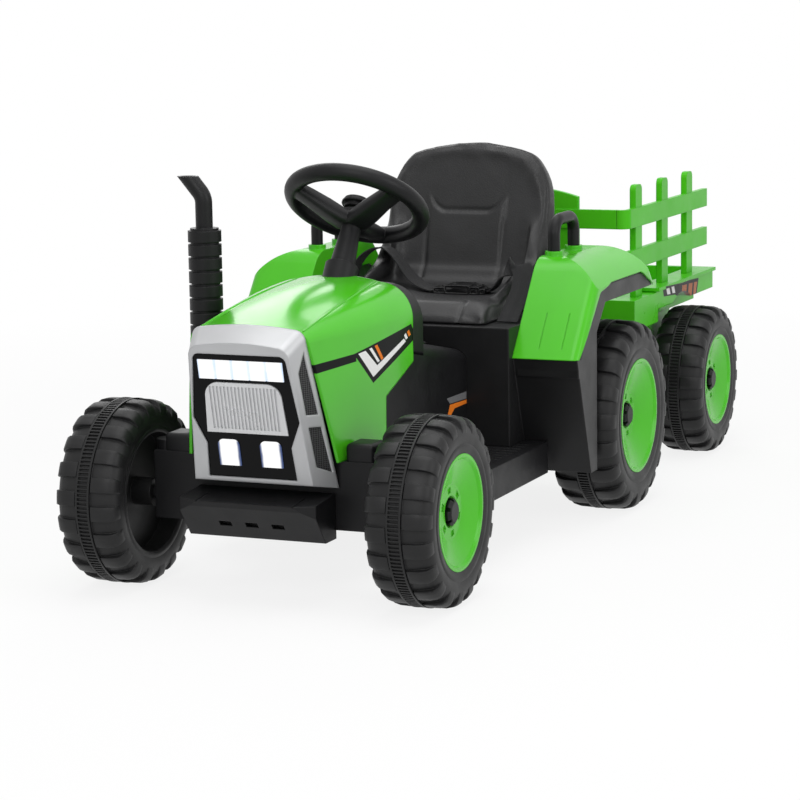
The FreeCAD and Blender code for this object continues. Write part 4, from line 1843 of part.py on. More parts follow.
def build_trailer():
    """Drawbar, bed with its axle legs, axle and fences."""
    plate = D.eye_plate
    low = D.hitch_z - plate / 2
    under = D.bed_bottom_z
    half = D.bar_width_half
    bar = prism("drawbar_side", "XZ", [
        (HITCH_X, low),
        (HITCH_X, low + plate),
        (D.bar_bend_x, low + plate),
        (D.bar_top_bend_x, under),
        (D.bar_rear_x, under),
        (D.bar_rear_x, under - plate),
        (D.bar_top_bend_x, under - plate),
        (D.bar_bend_x, low),
    ], -half, half)
    eye = rod("drawbar_eye", D.eye_radius, "Z", low, low + plate, (HITCH_X, ZERO))
    bore = rod("drawbar_bore", D.pin_radius + D.running_gap, "Z", low - D.overrun, low + plate + D.overrun,
               (HITCH_X, ZERO))
    node("trailer_drawbar", cut("trailer_drawbar_cut", fuse("drawbar_fused", bar, eye), bore))

    front, rear = D.bed_front_x, D.bed_front_x - D.bed_length
    pod_front, pod_rear = D.pod_front_x, rear
    bed_half, tub = D.bed_half, D.tub_half
    fore = box("bed_fore", (pod_front, front), (-bed_half, bed_half), (under, D.bed_front_top_z))
    hull = box("bed_tub", (rear, pod_front), (-tub, tub), (under, D.bed_top_z))
    arch_z = D.pod_bottom_z
    arch_radius = (D.arch_half * D.arch_half + D.arch_rise * D.arch_rise) / (D.arch_rise * 2)
    pods = prism("bed_pods", "XZ", [
        (pod_front, arch_z),
        (pod_front + D.pod_slope, D.bed_top_z),
        (rear, D.bed_top_z),
        (rear, arch_z),
        (TRAILER_AXLE_X - D.arch_half, arch_z),
        (TRAILER_AXLE_X + D.arch_half, arch_z),
    ], -bed_half, bed_half, {4: (arch_radius, -1)})
    lip_half = bed_half + D.bed_lip
    lip = box("bed_lip_plate", (rear, pod_front + D.pod_slope), (-lip_half, lip_half),
              (D.bed_top_z - D.bed_lip_height, D.bed_top_z))
    cargo = box("bed_cargo", (rear + D.bed_end_wall, front - D.bed_rim),
                (-(tub - D.bed_floor), tub - D.bed_floor),
                    (under + D.bed_floor, D.bed_top_z + D.overrun))
    leg = prism("axle_leg_left", "XZ", [
        (TRAILER_AXLE_X - D.leg_foot_half, D.trailer_tyre_radius),
        (TRAILER_AXLE_X - D.leg_head_half, under),
        (TRAILER_AXLE_X + D.leg_head_half, under),
        (TRAILER_AXLE_X + D.leg_foot_half, D.trailer_tyre_radius),
        (TRAILER_AXLE_X, D.trailer_tyre_radius - D.leg_foot_half),
    ], D.leg_inner, D.leg_outer, {3: (D.leg_foot_half, -1), 4: (D.leg_foot_half, -1)})
    leg_bore = rod("leg_bore", D.trailer_axle_radius + D.running_gap, "Y", -bed_half, bed_half,
                   (TRAILER_AXLE_X, D.trailer_tyre_radius))
    shell = cut("bed_shell", fuse("bed_outside", fore, hull, pods, lip), cargo)
    with_legs = fuse("bed_with_legs", shell, leg, mirrored("axle_leg_right", leg))
    node("trailer_bed", cut("trailer_bed_cut", with_legs, leg_bore))

    end = D.trailer_track_half + D.hub_face_offset + D.fit_gap
    hub_back = wheel_back(D.trailer_track_half, D.trailer_tyre_width) - D.fit_gap
    where = (TRAILER_AXLE_X, D.trailer_tyre_radius)
    left = [*axle_end("trailer_axle", D.trailer_axle_radius, D.trailer_track_half, *where),
            rod("trailer_collar", D.collar_radius, "Y", D.leg_outer, hub_back, where)]
    ends = [*left, *[mirrored(f"trailer_axle_end_{index}", item) for index, item in enumerate(left)]]
    node("trailer_axle", fuse("trailer_axle_fused",
                              rod("trailer_axle_rod", D.trailer_axle_radius, "Y", -end, end, where), *ends))

    boards = ((D.board_top_z - D.board_height, D.board_top_z),
              (D.board_top_z - D.board_drop - D.board_height, D.board_top_z - D.board_drop))
    outer, corner, thick = D.fence_half, D.fence_corner, D.fence_plate
    front_face = D.fence_front_x
    rails = []
    for index, (foot, head) in enumerate(boards):
        rails.append(prism(f"side_board_{index}", "XY", [
            (front_face, D.fence_seam_y + D.seam_gap),
            (front_face, outer - corner),
            (front_face - corner, outer),
            (D.fence_rear_x, outer),
            (D.fence_rear_x, outer - thick),
            (front_face - corner, outer - thick),
            (front_face - thick, outer - corner),
            (front_face - thick, D.fence_seam_y + D.seam_gap),
        ], foot, head, {1: (corner, 1), 5: (corner - thick, -1)}))
    posts = []
    for index in range(int(D.post_count.value)):
        middle = D.post_front_x - D.post_pitch * index
        foot = D.bed_front_top_z if index == 0 else D.bed_top_z
        left_edge, right_edge = middle - D.post_width / 2, middle + D.post_width / 2
        top = D.post_top_z
        posts.append(prism(f"post_{index}", "XZ", [
            (left_edge, foot),
            (right_edge, foot),
            (right_edge, top - D.post_corner),
            (right_edge - D.post_corner, top),
            (left_edge + D.post_corner, top),
            (left_edge, top - D.post_corner),
        ], outer - D.post_set_back - D.post_plate, outer - D.post_set_back,
            {2: (D.post_corner, 1), 4: (D.post_corner, 1)}))
    fence = fuse("side_fence_fused", *rails, *posts)
    node("trailer_left_fence", fence)
    node("trailer_right_fence", mirrored("right_fence_mirror", fence))

    seam = D.fence_seam_y
    front_boards = [box(f"front_board_{index}", (front_face - thick, front_face), (-seam, seam), limits)
                    for index, limits in enumerate(boards)]
    rise = D.middle_top_z - D.middle_shoulder_z
    crown = (D.middle_half * D.middle_half + rise * rise) / (rise * 2)
    middle_board = prism("middle_board", "YZ", [
        (-D.middle_half, D.bed_front_top_z),
        (D.middle_half, D.bed_front_top_z),
        (D.middle_half, D.middle_shoulder_z),
        (-D.middle_half, D.middle_shoulder_z),
    ], front_face - D.post_set_back - D.post_plate, front_face - D.post_set_back, {2: (crown, 1)})
    node("trailer_front_fence", fuse("front_fence_fused", *front_boards, middle_board))


build_front_axle()
build_steering()
build_nose()
hood_outside = build_hood()
tunnel_outside = build_chassis()
build_rear()
build_seat()
build_dashboard(tunnel_outside)
build_exhaust(hood_outside)
build_bumper()
build_pedal()
build_drive()
build_hitch()
build_trailer()
doc.recompute()

broken = [item.Name for item in doc.Objects if "Invalid" in item.State or "Error" in item.State]
if broken:
    raise RuntimeError(f"objects that did not build: {broken}")
for item in doc.Objects:
    if hasattr(item, "Shape") and not item.isDerivedFrom("App::Origin"):
        if item.Shape.isNull() and item.TypeId not in ("PartDesign::Plane", "PartDesign::Line"):
            broken.append(item.Name)
broken += [label for label, item in NODES.items() if not item.Shape.Solids or not item.Shape.isValid()]
if broken:
    raise RuntimeError(f"shapes that are not sound: {broken}")

os.makedirs("parts", exist_ok=True)
for label, item in NODES.items():
    item.Shape.exportStep(f"parts/{label}.step")
print(len(NODES), "pieces written")
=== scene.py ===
import logging
import math
from dataclasses import dataclass, field
from enum import Enum
from typing import ClassVar, Optional, Sequence, Union

import bmesh
import bpy
from mathutils import Matrix, Vector


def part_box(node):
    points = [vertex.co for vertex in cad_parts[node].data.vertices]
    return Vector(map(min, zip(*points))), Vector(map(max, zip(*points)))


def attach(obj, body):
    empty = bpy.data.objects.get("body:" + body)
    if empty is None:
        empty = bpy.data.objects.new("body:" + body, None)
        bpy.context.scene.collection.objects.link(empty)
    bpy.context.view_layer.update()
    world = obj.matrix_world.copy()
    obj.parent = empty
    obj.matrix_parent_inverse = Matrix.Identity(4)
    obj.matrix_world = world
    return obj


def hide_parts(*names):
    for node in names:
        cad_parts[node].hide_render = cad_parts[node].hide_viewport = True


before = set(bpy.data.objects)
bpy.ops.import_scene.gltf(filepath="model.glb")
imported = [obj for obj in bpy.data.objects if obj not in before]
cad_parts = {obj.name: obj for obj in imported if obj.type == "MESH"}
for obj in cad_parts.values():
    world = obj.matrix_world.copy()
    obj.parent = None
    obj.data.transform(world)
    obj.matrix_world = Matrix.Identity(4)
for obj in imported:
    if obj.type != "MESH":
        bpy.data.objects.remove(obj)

LOG = logging.getLogger("ride_on_tractor")
MM = 0.001
FULL_TURN = 2.0 * math.pi
DEFAULT_EDGE, CRISP_EDGE, TURNED_EDGE, ROUND_EDGE, FLOWING_EDGE = 35.0, 30.0, 32.0, 40.0, 50.0
FACING = 0.9
MIRROR = Matrix.Scale(-1.0, 4, (0.0, 1.0, 0.0))
Colour = tuple[float, float, float]
Corner = tuple[float, float]
Place = tuple[float, float, float]
Piece = bpy.types.Object
Socket = bpy.types.NodeSocket
Feed = Union[Socket, float, Colour, tuple[float, float, float, float]]


def circle(count: int) -> list[Corner]:
    """Cosine and sine of even steps round a circle."""
    turns = (FULL_TURN * index / count for index in range(count))
    return [(math.cos(turn), math.sin(turn)) for turn in turns]


def soft_step(value: float, half: float) -> float:
    """A soft step from 0 to 1 across zero, that far to each side."""
    share = min(1.0, max(0.0, 0.5 + value / (2.0 * half)))
    return share * share * (3.0 - 2.0 * share)


def tilted(middle: Place, angle: float) -> Matrix:
    """From upright axes to a place in mm, tilted back by an angle in degrees."""
    return Matrix.Translation(Vector(middle) * MM) @ Matrix.Rotation(-math.radians(angle), 4, "Y")


class Axis(Enum):
    """The frame's axes, as unit vectors."""

    LENGTH = (1.0, 0.0, 0.0)
    WIDTH = (0.0, 1.0, 0.0)
    HEIGHT = (0.0, 0.0, 1.0)

    @property
    def vector(self) -> Vector:
        """The axis as a vector."""
        return Vector(self.value)


class Shade:
    """One node material, patterned on Object coordinates."""

    EDGE_SAMPLES = 6
    PRINT_BLUR = 0.2 * MM
    MIX_COLOURS = (6, 7)
    MIX_RESULT = 2

    def __init__(self, name: str) -> None:
        """Starts the material with its one Principled shader.

        Args:
            name: the material's name.
        """
        self.material = bpy.data.materials.new(name)
        self.material.use_nodes = True
        self.nodes = self.material.node_tree.nodes
        self.links = self.material.node_tree.links
        self.shader = self.nodes["Principled BSDF"]
        self.place = self.add("ShaderNodeTexCoord").outputs["Object"]

    def add(self, kind: str, **settings: object) -> bpy.types.ShaderNode:
        """Adds a node.

        Args:
            kind: the node's type.
            settings: its properties.

        Returns:
            The new node.
        """
        node = self.nodes.new(kind)
        for key, value in settings.items():
            setattr(node, key, value)
        return node

    def feed(self, socket: Socket, value: Feed) -> None:
        """Links a socket, or sets its own value.

        Args:
            socket: the input.
            value: an output socket, a number or a colour.
        """
        if isinstance(value, bpy.types.NodeSocket):
            self.links.new(value, socket)
        elif isinstance(value, tuple) and len(value) == 3 and socket.type == "RGBA":
            socket.default_value = (*value, 1.0)
        else:
            socket.default_value = value

    def put(self, socket_name: str, value: Feed) -> None:
        """Feeds an input of the shader by name."""
        self.feed(self.shader.inputs[socket_name], value)

    def axes(self) -> tuple[Socket, Socket, Socket]:
        """The three Object coordinates, in metres."""
        node = self.add("ShaderNodeSeparateXYZ")
        self.feed(node.inputs[0], self.place)
        return node.outputs[0], node.outputs[1], node.outputs[2]

    def maths(self, operation: str, first: Feed, second: Feed = 0.0, third: Feed = 0.0) -> Socket:
        """One Math node.

        Args:
            operation: its operation.
            first: first input.
            second: second input.
            third: third input.

        Returns:
            The result.
        """
        node = self.add("ShaderNodeMath", operation=operation)
        for socket, value in zip(node.inputs, (first, second, third)):
            self.feed(socket, value)
        return node.outputs[0]

    def noise(self, size: float, detail: float = 2.0, stretch: Colour = (1.0, 1.0, 1.0)) -> Socket:
        """Soft noise.

        Args:
            size: the size of its features, in metres.
            detail: octaves.
            stretch: scale on each axis.

        Returns:
            The noise, from 0 to 1.
        """
        mapping = self.add("ShaderNodeMapping")
        self.feed(mapping.inputs["Vector"], self.place)
        mapping.inputs["Scale"].default_value = stretch
        node = self.add("ShaderNodeTexNoise")
        self.feed(node.inputs["Vector"], mapping.outputs[0])
        node.inputs["Scale"].default_value = 1.0 / size
        node.inputs["Detail"].default_value = detail
        return node.outputs[0]

    def cells(self, size: float) -> Socket:
        """Soft Voronoi cells.

        Args:
            size: the size of a cell, in metres.

        Returns:
            The distance from a cell's middle.
        """
        node = self.add("ShaderNodeTexVoronoi", feature="SMOOTH_F1")
        self.feed(node.inputs["Vector"], self.place)
        node.inputs["Scale"].default_value = 1.0 / size
        return node.outputs[0]

    def remap(self, value: Feed, low: float, high: float, to_low: float = 0.0,
              to_high: float = 1.0) -> Socket:
        """A clamped change of range.

        Args:
            value: what is changed.
            low: start of its range.
            high: end of its range.
            to_low: result at low.
            to_high: result at high.

        Returns:
            The result.
        """
        node = self.add("ShaderNodeMapRange", clamp=True)
        for index, number in enumerate((value, low, high, to_low, to_high)):
            self.feed(node.inputs[index], number)
        return node.outputs[0]

    def blend(self, factor: Feed, first: Feed, second: Feed) -> Socket:
        """A mix of two colours.

        Args:
            factor: share of the second.
            first: first colour.
            second: second colour.

        Returns:
            The colour.
        """
        node = self.add("ShaderNodeMix", data_type="RGBA")
        self.feed(node.inputs[0], factor)
        for index, colour in zip(self.MIX_COLOURS, (first, second)):
            self.feed(node.inputs[index], colour)
        return node.outputs[self.MIX_RESULT]

    def relief(self, height: Socket, distance: float, under: Optional[Socket] = None) -> Socket:
        """Bump.

        Args:
            height: what stands up.
            distance: how far, in metres.
            under: a normal that it is laid on.

        Returns:
            The normal.
        """
        node = self.add("ShaderNodeBump")
        node.inputs["Distance"].default_value = distance
        self.feed(node.inputs["Height"], height)
        if under is not None:
            self.feed(node.inputs["Normal"], under)
        return node.outputs[0]

    def soft_edges(self, radius: float) -> Socket:
        """A normal that rounds sharp edges.

        Args:
            radius: how round, in metres.

        Returns:
            The normal.
        """
        node = self.add("ShaderNodeBevel", samples=self.EDGE_SAMPLES)
        node.inputs["Radius"].default_value = radius
        return node.outputs[0]

    def patch(self, across: Socket, up: Socket, corners: Sequence[Corner]) -> Socket:
        """A mask of one convex printed patch.

        Args:
            across: coordinate that the corners' first numbers are on.
            up: coordinate that their second numbers are on.
            corners: the patch's corners, in mm.

        Returns:
            1 inside, 0 outside.
        """
        points = [(u * MM, v * MM) for u, v in corners]
        pairs = list(zip(points, (*points[1:], points[0])))
        area = sum(a[0] * b[1] - b[0] * a[1] for a, b in pairs)
        turn = 1.0 if area > 0 else -1.0
        reach: Optional[Socket] = None
        for (u0, v0), (u1, v1) in pairs:
            length = math.hypot(u1 - u0, v1 - v0)
            a, b = turn * (v0 - v1) / length, turn * (u1 - u0) / length
            side = self.maths("MULTIPLY_ADD", across, a,
                              self.maths("MULTIPLY_ADD", up, b, -(a * u0 + b * v0)))
            reach = side if reach is None else self.maths("MINIMUM", reach, side)
        return self.remap(reach, -self.PRINT_BLUR, self.PRINT_BLUR)


@dataclass(frozen=True)
class Grain:
    """The size and the depth of a surface's fine grain, in metres."""

    size: float
    depth: float


@dataclass(frozen=True)
class Moulded:
    """Moulded plastic or plain metal: faint flow marks, a fine grain and slightly rounded edges."""

    name: str
    colour: Colour
    grain: Grain
    roughness: float
    variation: float
    metallic: float = 0.0
    coat: float = 0.0
    edge: float = 0.0014
    shine: float = 0.5
    flow: ClassVar[float] = 0.11
    flow_stretch: ClassVar[Colour] = (1.0, 1.6, 0.7)
    smear: ClassVar[float] = 0.03
    smear_share: ClassVar[float] = 0.14
    coat_roughness: ClassVar[float] = 0.06
    middle: ClassVar[Corner] = (0.3, 0.7)

    def tone(self, shade: Shade) -> Socket:
        """The colour with its flow marks.

        Args:
            shade: the material.

        Returns:
            The colour.
        """
        flow = shade.noise(self.flow, detail=3.0, stretch=self.flow_stretch)
        dark = tuple(part * (1.0 - self.variation) for part in self.colour)
        light = tuple(min(1.0, part * (1.0 + self.variation)) for part in self.colour)
        return shade.blend(shade.remap(flow, *self.middle), dark, light)

    def surface(self, shade: Shade) -> None:
        """Roughness, grain, edges and gloss of the shader.

        Args:
            shade: the material.
        """
        smear = shade.noise(self.smear, detail=4.0)
        swing = self.roughness * self.smear_share
        ends = self.roughness - swing, self.roughness + swing
        shade.put("Roughness", shade.remap(smear, *self.middle, *ends))
        grain = shade.noise(self.grain.size)
        shade.put("Normal", shade.relief(grain, self.grain.depth, shade.soft_edges(self.edge)))
        shade.put("Metallic", self.metallic)
        shade.put("Specular IOR Level", self.shine)
        shade.put("Coat Weight", self.coat)
        shade.put("Coat Roughness", self.coat_roughness)

    def make(self) -> bpy.types.Material:
        """The finished material."""
        shade = Shade(self.name)
        shade.put("Base Color", self.tone(shade))
        self.surface(shade)
        return shade.material


@dataclass(frozen=True)
class Print:
    """One printed colour and its convex patches, corners in mm along X and Z."""

    colour: Colour
    patches: tuple[tuple[Corner, ...], ...]


@dataclass(frozen=True)
class Printed(Moulded):
    """Moulded plastic with plain printed stripes on its sides, beyond a distance from the middle."""

    prints: tuple[Print, ...] = ()
    beyond: float = 0.0
    print_shine: ClassVar[float] = 0.05

    def make(self) -> bpy.types.Material:
        """The finished material."""
        shade = Shade(self.name)
        colour = self.tone(shade)
        along, across, up = shade.axes()
        outside = shade.maths("GREATER_THAN", shade.maths("ABSOLUTE", across), self.beyond)
        covered: Optional[Socket] = None
        for layer in self.prints:
            mask: Optional[Socket] = None
            for corners in layer.patches:
                inside = shade.maths("MULTIPLY", shade.patch(along, up, corners), outside)
                mask = inside if mask is None else shade.maths("MAXIMUM", mask, inside)
            colour = shade.blend(mask, colour, layer.colour)
            covered = mask if covered is None else shade.maths("MAXIMUM", covered, mask)
        shade.put("Base Color", colour)
        self.surface(shade)
        shade.put("Specular IOR Level", shade.remap(covered, 0.0, 1.0, self.shine, self.print_shine))
        shade.put("Coat Weight", shade.remap(covered, 0.0, 1.0, self.coat, 0.0))
        return shade.material


@dataclass(frozen=True)
class Lens:
    """Lit lamp lenses: a row of bright cores above, one core in a dark blue rim in each lamp below."""

    name: str
    edge: Colour
    rim: Colour
    core: Colour
    row: float = 0.0216
    lamp: float = 0.027
    lamp_half: float = 0.0135
    split: float = 0.23
    prism: float = 0.0034
    prism_depth: float = 0.0002
    strength: float = 0.97
    blur: float = 0.012
    bar_wave: float = 0.003
    bar_edge: Corner = (0.0012, 0.0042)
    lamp_wave: float = 0.0016
    lamp_edge: Corner = (0.0018, 0.0042)
    body: Colour = (0.02, 0.02, 0.025)
    body_share: float = 0.9
    roughness: float = 0.12
    rounding: float = 0.0008

    def make(self) -> bpy.types.Material:
        """The finished material."""
        shade = Shade(self.name)
        _, across, up = shade.axes()
        ribs = shade.maths("SINE", shade.maths("MULTIPLY", across, FULL_TURN / self.prism))
        blur = shade.noise(self.blur, detail=1.0)
        place = shade.maths("PINGPONG", shade.maths("ADD", across, self.row / 2.0), self.row / 2.0)
        glow = shade.maths("MULTIPLY_ADD", blur, self.bar_wave, place)
        bar = shade.blend(shade.remap(glow, *self.bar_edge), self.edge, self.core)
        off = shade.maths("ABSOLUTE", shade.maths("SUBTRACT", shade.maths("ABSOLUTE", across), self.lamp))
        inside = shade.maths("SUBTRACT", self.lamp_half, off)
        inside = shade.maths("MULTIPLY_ADD", blur, self.lamp_wave, inside)
        lamps = shade.blend(shade.remap(inside, *self.lamp_edge), self.rim, self.core)
        colour = shade.blend(shade.maths("GREATER_THAN", up, self.split), lamps, bar)
        shade.put("Base Color", shade.blend(self.body_share, colour, self.body))
        shade.put("Roughness", self.roughness)
        shade.put("Emission Color", colour)
        shade.put("Emission Strength", self.strength)
        shade.put("Normal", shade.relief(ribs, self.prism_depth, shade.soft_edges(self.rounding)))
        return shade.material


@dataclass(frozen=True)
class VentMesh:
    """A dark insert with a slanted mesh of small openings."""

    name: str
    bar: Colour
    hole: Colour
    pitch: float = 0.0048
    lean: float = 0.75
    opening: Corner = (-0.15, 0.2)
    roughness: Corner = (0.85, 0.42)
    depth: float = 0.0012

    def make(self) -> bpy.types.Material:
        """The finished material."""
        shade = Shade(self.name)
        along, _, up = shade.axes()
        turn = FULL_TURN / self.pitch
        waves = []
        for lean in (self.lean, -self.lean):
            slant = shade.maths("MULTIPLY_ADD", along, lean, up)
            waves.append(shade.maths("SINE", shade.maths("MULTIPLY", slant, turn)))
        weave = shade.maths("MULTIPLY", waves[0], waves[1])
        lattice = shade.remap(weave, *self.opening, 1.0, 0.0)
        shade.put("Base Color", shade.blend(lattice, self.hole, self.bar))
        shade.put("Roughness", shade.remap(lattice, 0.0, 1.0, *self.roughness))
        shade.put("Normal", shade.relief(lattice, self.depth))
        return shade.material


@dataclass(frozen=True)
class Leather:
    """Soft black seat cover with a pebbled grain and painted sheen in soft, lighter patches."""

    name: str
    colour: Colour
    pebble: float = 0.0021
    pebble_span: Corner = (0.1, 0.7)
    roughness: float = 0.4
    fine: float = 0.0006
    fine_share: float = 0.35
    depth: float = 0.00016
    sheen_patch: float = 0.05
    sheen_span: Corner = (0.4, 0.75)
    sheen_lift: float = 1.7
    swing: Corner = (0.85, 1.2)
    shine: float = 0.34

    def make(self) -> bpy.types.Material:
        """The finished material."""
        shade = Shade(self.name)
        # painted sheen: soft random patches of the cover are coloured lighter, standing in for soft
        # highlights
        sheen_mask = shade.remap(shade.noise(self.sheen_patch, detail=4.0), *self.sheen_span)
        sheen_lift = tuple(part * self.sheen_lift for part in self.colour)
        shade.put("Base Color", shade.blend(sheen_mask, self.colour, sheen_lift))
        pebbles = shade.cells(self.pebble)
        fine = shade.maths("MULTIPLY_ADD", shade.noise(self.fine), self.fine_share, pebbles)
        ends = (self.roughness * share for share in self.swing)
        shade.put("Roughness", shade.remap(pebbles, *self.pebble_span, *ends))
        shade.put("Normal", shade.relief(fine, self.depth))
        shade.put("Specular IOR Level", self.shine)
        return shade.material


@dataclass(frozen=True)
class Webbing:
    """Woven belt webbing: diagonal ribs on the strap's own lengths, with a painted highlight on their crests.
    """

    name: str
    colour: Colour
    rib: float = 0.0021
    herringbone: float = 0.007
    threads: float = 1.5
    thread_share: float = 0.4
    crest_highlight: float = 2.2
    crest: float = 1.2
    roughness: Corner = (0.8, 0.6)
    depth: float = 0.0004
    shine: float = 0.15
    sheen: float = 0.06

    def make(self) -> bpy.types.Material:
        """The finished material."""
        shade = Shade(self.name)
        chart = shade.add("ShaderNodeUVMap", uv_map="strap")
        split = shade.add("ShaderNodeSeparateXYZ")
        shade.feed(split.inputs[0], chart.outputs[0])
        across, along = split.outputs[0], split.outputs[1]
        turn = FULL_TURN / self.rib
        fold = shade.maths("PINGPONG", across, self.herringbone)
        twill = shade.maths("SINE", shade.maths("MULTIPLY", shade.maths("ADD", fold, along), turn))
        thread = shade.maths("SINE", shade.maths("MULTIPLY", across, turn * self.threads))
        weave = shade.maths("MULTIPLY_ADD", thread, self.thread_share, twill)
        rib_lift_and_highlight = shade.remap(weave, -self.crest, self.crest)
        # painted highlight: the ribs' crests are coloured paler, as if lit
        crest_highlight = tuple(part * self.crest_highlight for part in self.colour)
        shade.put("Base Color", shade.blend(rib_lift_and_highlight, self.colour, crest_highlight))
        shade.put("Roughness", shade.remap(rib_lift_and_highlight, 0.0, 1.0, *self.roughness))
        shade.put("Normal", shade.relief(rib_lift_and_highlight, self.depth))
        shade.put("Specular IOR Level", self.shine)
        shade.put("Sheen Weight", self.sheen)
        return shade.material


FINE = Grain(0.0008, 0.00006)
SHALLOW = Grain(0.0008, 0.00005)
COARSE = Grain(0.0009, 0.00008)
SLEEK = Grain(0.0016, 0.00001)
SATIN = Grain(0.0018, 0.000003)
GLASSY = Grain(0.002, 0.000005)
PLATED = Grain(0.0006, 0.00002)

LEAF = (0.07, 0.50, 0.012)
COAL = (0.0075, 0.0075, 0.0082)
AMBER = (0.80, 0.20, 0.02)
CHALK = (0.85, 0.85, 0.84)

HOOD_STRIPE = Print(COAL, (
    ((640.0, 285.2), (522.0, 286.7), (522.0, 277.4), (640.0, 274.4)),
    ((527.0, 286.5), (380.6, 304.4), (369.8, 285.8), (486.8, 246.6), (513.9, 273.6)),
))
HOOD_CHECK = Print(CHALK, (
    ((516.5, 285.6), (499.5, 287.0), (473.4, 265.4), (485.2, 253.8)),
    ((474.5, 266.2), (402.4, 289.0), (397.2, 284.9), (485.2, 253.8)),
    ((490.6, 288.2), (484.4, 288.8), (467.4, 270.6), (472.2, 269.4)),
    ((401.4, 293.0), (396.4, 295.0), (391.6, 288.6), (397.0, 286.8)),
))
HOOD_SLASH = Print(AMBER, (
    ((477.4, 290.0), (470.8, 290.6), (457.8, 272.8), (463.0, 271.0)),
    ((393.0, 296.0), (387.6, 298.0), (383.0, 291.4), (388.6, 289.6)),
))
TUNNEL_BAND = Print((0.16, 0.16, 0.165), (
    ((255.0, 192.0), (173.0, 191.0), (175.0, 181.4), (244.5, 183.8)),
))
TUNNEL_SLASH = Print(AMBER, (
    ((244.5, 182.4), (175.0, 180.0), (175.0, 175.6), (231.0, 175.4)),
    ((244.5, 182.4), (229.0, 175.4), (243.0, 167.4), (253.0, 169.6)),
))
ARCH_BAND = Print(COAL, (
    ((-470.0, 259.0), (-592.0, 254.0), (-580.0, 226.0), (-520.0, 226.0), (-470.0, 242.0)),
    ((-406.0, 262.0), (-472.0, 259.0), (-472.0, 242.0), (-412.0, 246.0)),
))
ARCH_CHECK = Print(CHALK, (
    ((-424.0, 258.0), (-440.0, 257.0), (-446.0, 246.0), (-430.0, 247.0)),
    ((-450.0, 257.0), (-464.0, 256.0), (-470.0, 245.0), (-456.0, 246.0)),
))
ARCH_SLASH = Print((0.45, 0.15, 0.06), (
    ((-506.0, 252.0), (-530.0, 251.0), (-524.0, 230.0), (-502.0, 233.0)),
    ((-540.0, 251.0), (-560.0, 250.0), (-554.0, 229.0), (-534.0, 229.0)),
    ((-568.0, 250.0), (-584.0, 249.0), (-575.0, 230.0), (-563.0, 229.0)),
))


class Coat(Enum):
    """The finishes of the tractor and its trailer."""

    GREEN = Moulded("gloss_green_plastic", LEAF, SLEEK, roughness=0.22, variation=0.05, coat=0.08,
                    edge=0.0022, shine=0.26)
    HOOD = Printed("striped_hood_plastic", LEAF, SLEEK, roughness=0.2, variation=0.05, coat=0.13,
                   edge=0.003, shine=0.28, prints=(HOOD_STRIPE, HOOD_CHECK, HOOD_SLASH))
    FENCE = Moulded("satin_green_plastic", LEAF, SLEEK, roughness=0.32, variation=0.05, edge=0.0022,
                    shine=0.12)
    BED = Printed("striped_bed_plastic", LEAF, SLEEK, roughness=0.3, variation=0.05, edge=0.0022,
                  shine=0.14, prints=(ARCH_BAND, ARCH_CHECK, ARCH_SLASH), beyond=0.17)
    BLACK = Moulded("satin_black_plastic", COAL, FINE, roughness=0.42, variation=0.12, edge=0.0018,
                    shine=0.2)
    TUNNEL = Printed("striped_tunnel_plastic", COAL, FINE, roughness=0.4, variation=0.12, edge=0.0024,
                     shine=0.2, prints=(TUNNEL_BAND, TUNNEL_SLASH))
    # painted light: a lighter copy of the black plastic for the seat box, whose front gets little lamp light
    BODY = Moulded("lightened_black_plastic", (0.0105, 0.0105, 0.011), FINE, roughness=0.38, variation=0.1,
                   edge=0.003, shine=0.22)
    TYRE = Moulded("tyre_plastic", (0.009, 0.009, 0.0094), COARSE, roughness=0.46, variation=0.14,
                   edge=0.001, shine=0.28)
    GLOSS = Moulded("gloss_black_plastic", (0.006, 0.006, 0.0065), GLASSY, roughness=0.14, variation=0.1,
                    coat=0.3, shine=0.3)
    SILVER = Moulded("satin_silver_plastic", (0.47, 0.475, 0.485), SATIN, roughness=0.42, variation=0.04,
                     metallic=0.4, edge=0.003)
    PANEL = Moulded("gloss_black_panel", (0.002, 0.002, 0.0025), GLASSY, roughness=0.1, variation=0.1,
                    coat=0.04, shine=0.1)
    BRIGHT = Moulded("bright_ribbed_plastic", (0.62, 0.625, 0.635), SATIN, roughness=0.3, variation=0.05,
                     metallic=0.4, edge=0.0006)
    LENS = Lens("lit_lamp_lens", (0.62, 0.76, 1.0), (0.05, 0.08, 0.2), (1.0, 1.0, 1.0))
    VENT = VentMesh("vent_mesh", (0.05, 0.05, 0.053), (0.003, 0.003, 0.003))
    LEATHER = Leather("seat_leather", (0.0105, 0.0105, 0.011))
    WEBBING = Webbing("belt_webbing", (0.007, 0.007, 0.0075))
    STEEL = Moulded("plated_steel", (0.5, 0.5, 0.51), PLATED, roughness=0.32, variation=0.05, metallic=1.0,
                    edge=0.0006)
    CASE = Moulded("battery_case", (0.02, 0.02, 0.022), SHALLOW, roughness=0.5, variation=0.1, shine=0.25)


class Paintbox:
    """Makes each finish once and hands it out."""

    def __init__(self) -> None:
        """Starts with nothing mixed."""
        self.mixed: dict[Coat, bpy.types.Material] = {}

    def of(self, coat: Coat) -> bpy.types.Material:
        """The material of a finish, made at its first use.

        Args:
            coat: the finish.

        Returns:
            The material.
        """
        if coat not in self.mixed:
            self.mixed[coat] = coat.value.make()
        return self.mixed[coat]

    def paint(self, item: Piece, coat: Coat) -> None:
        """Gives a piece one finish in all its slots.

        Args:
            item: the piece.
            coat: its finish.
        """
        material = self.of(coat)
        if not item.data.materials:
            item.data.materials.append(material)
        for index in range(len(item.data.materials)):
            item.data.materials[index] = material


PAINT = Paintbox()


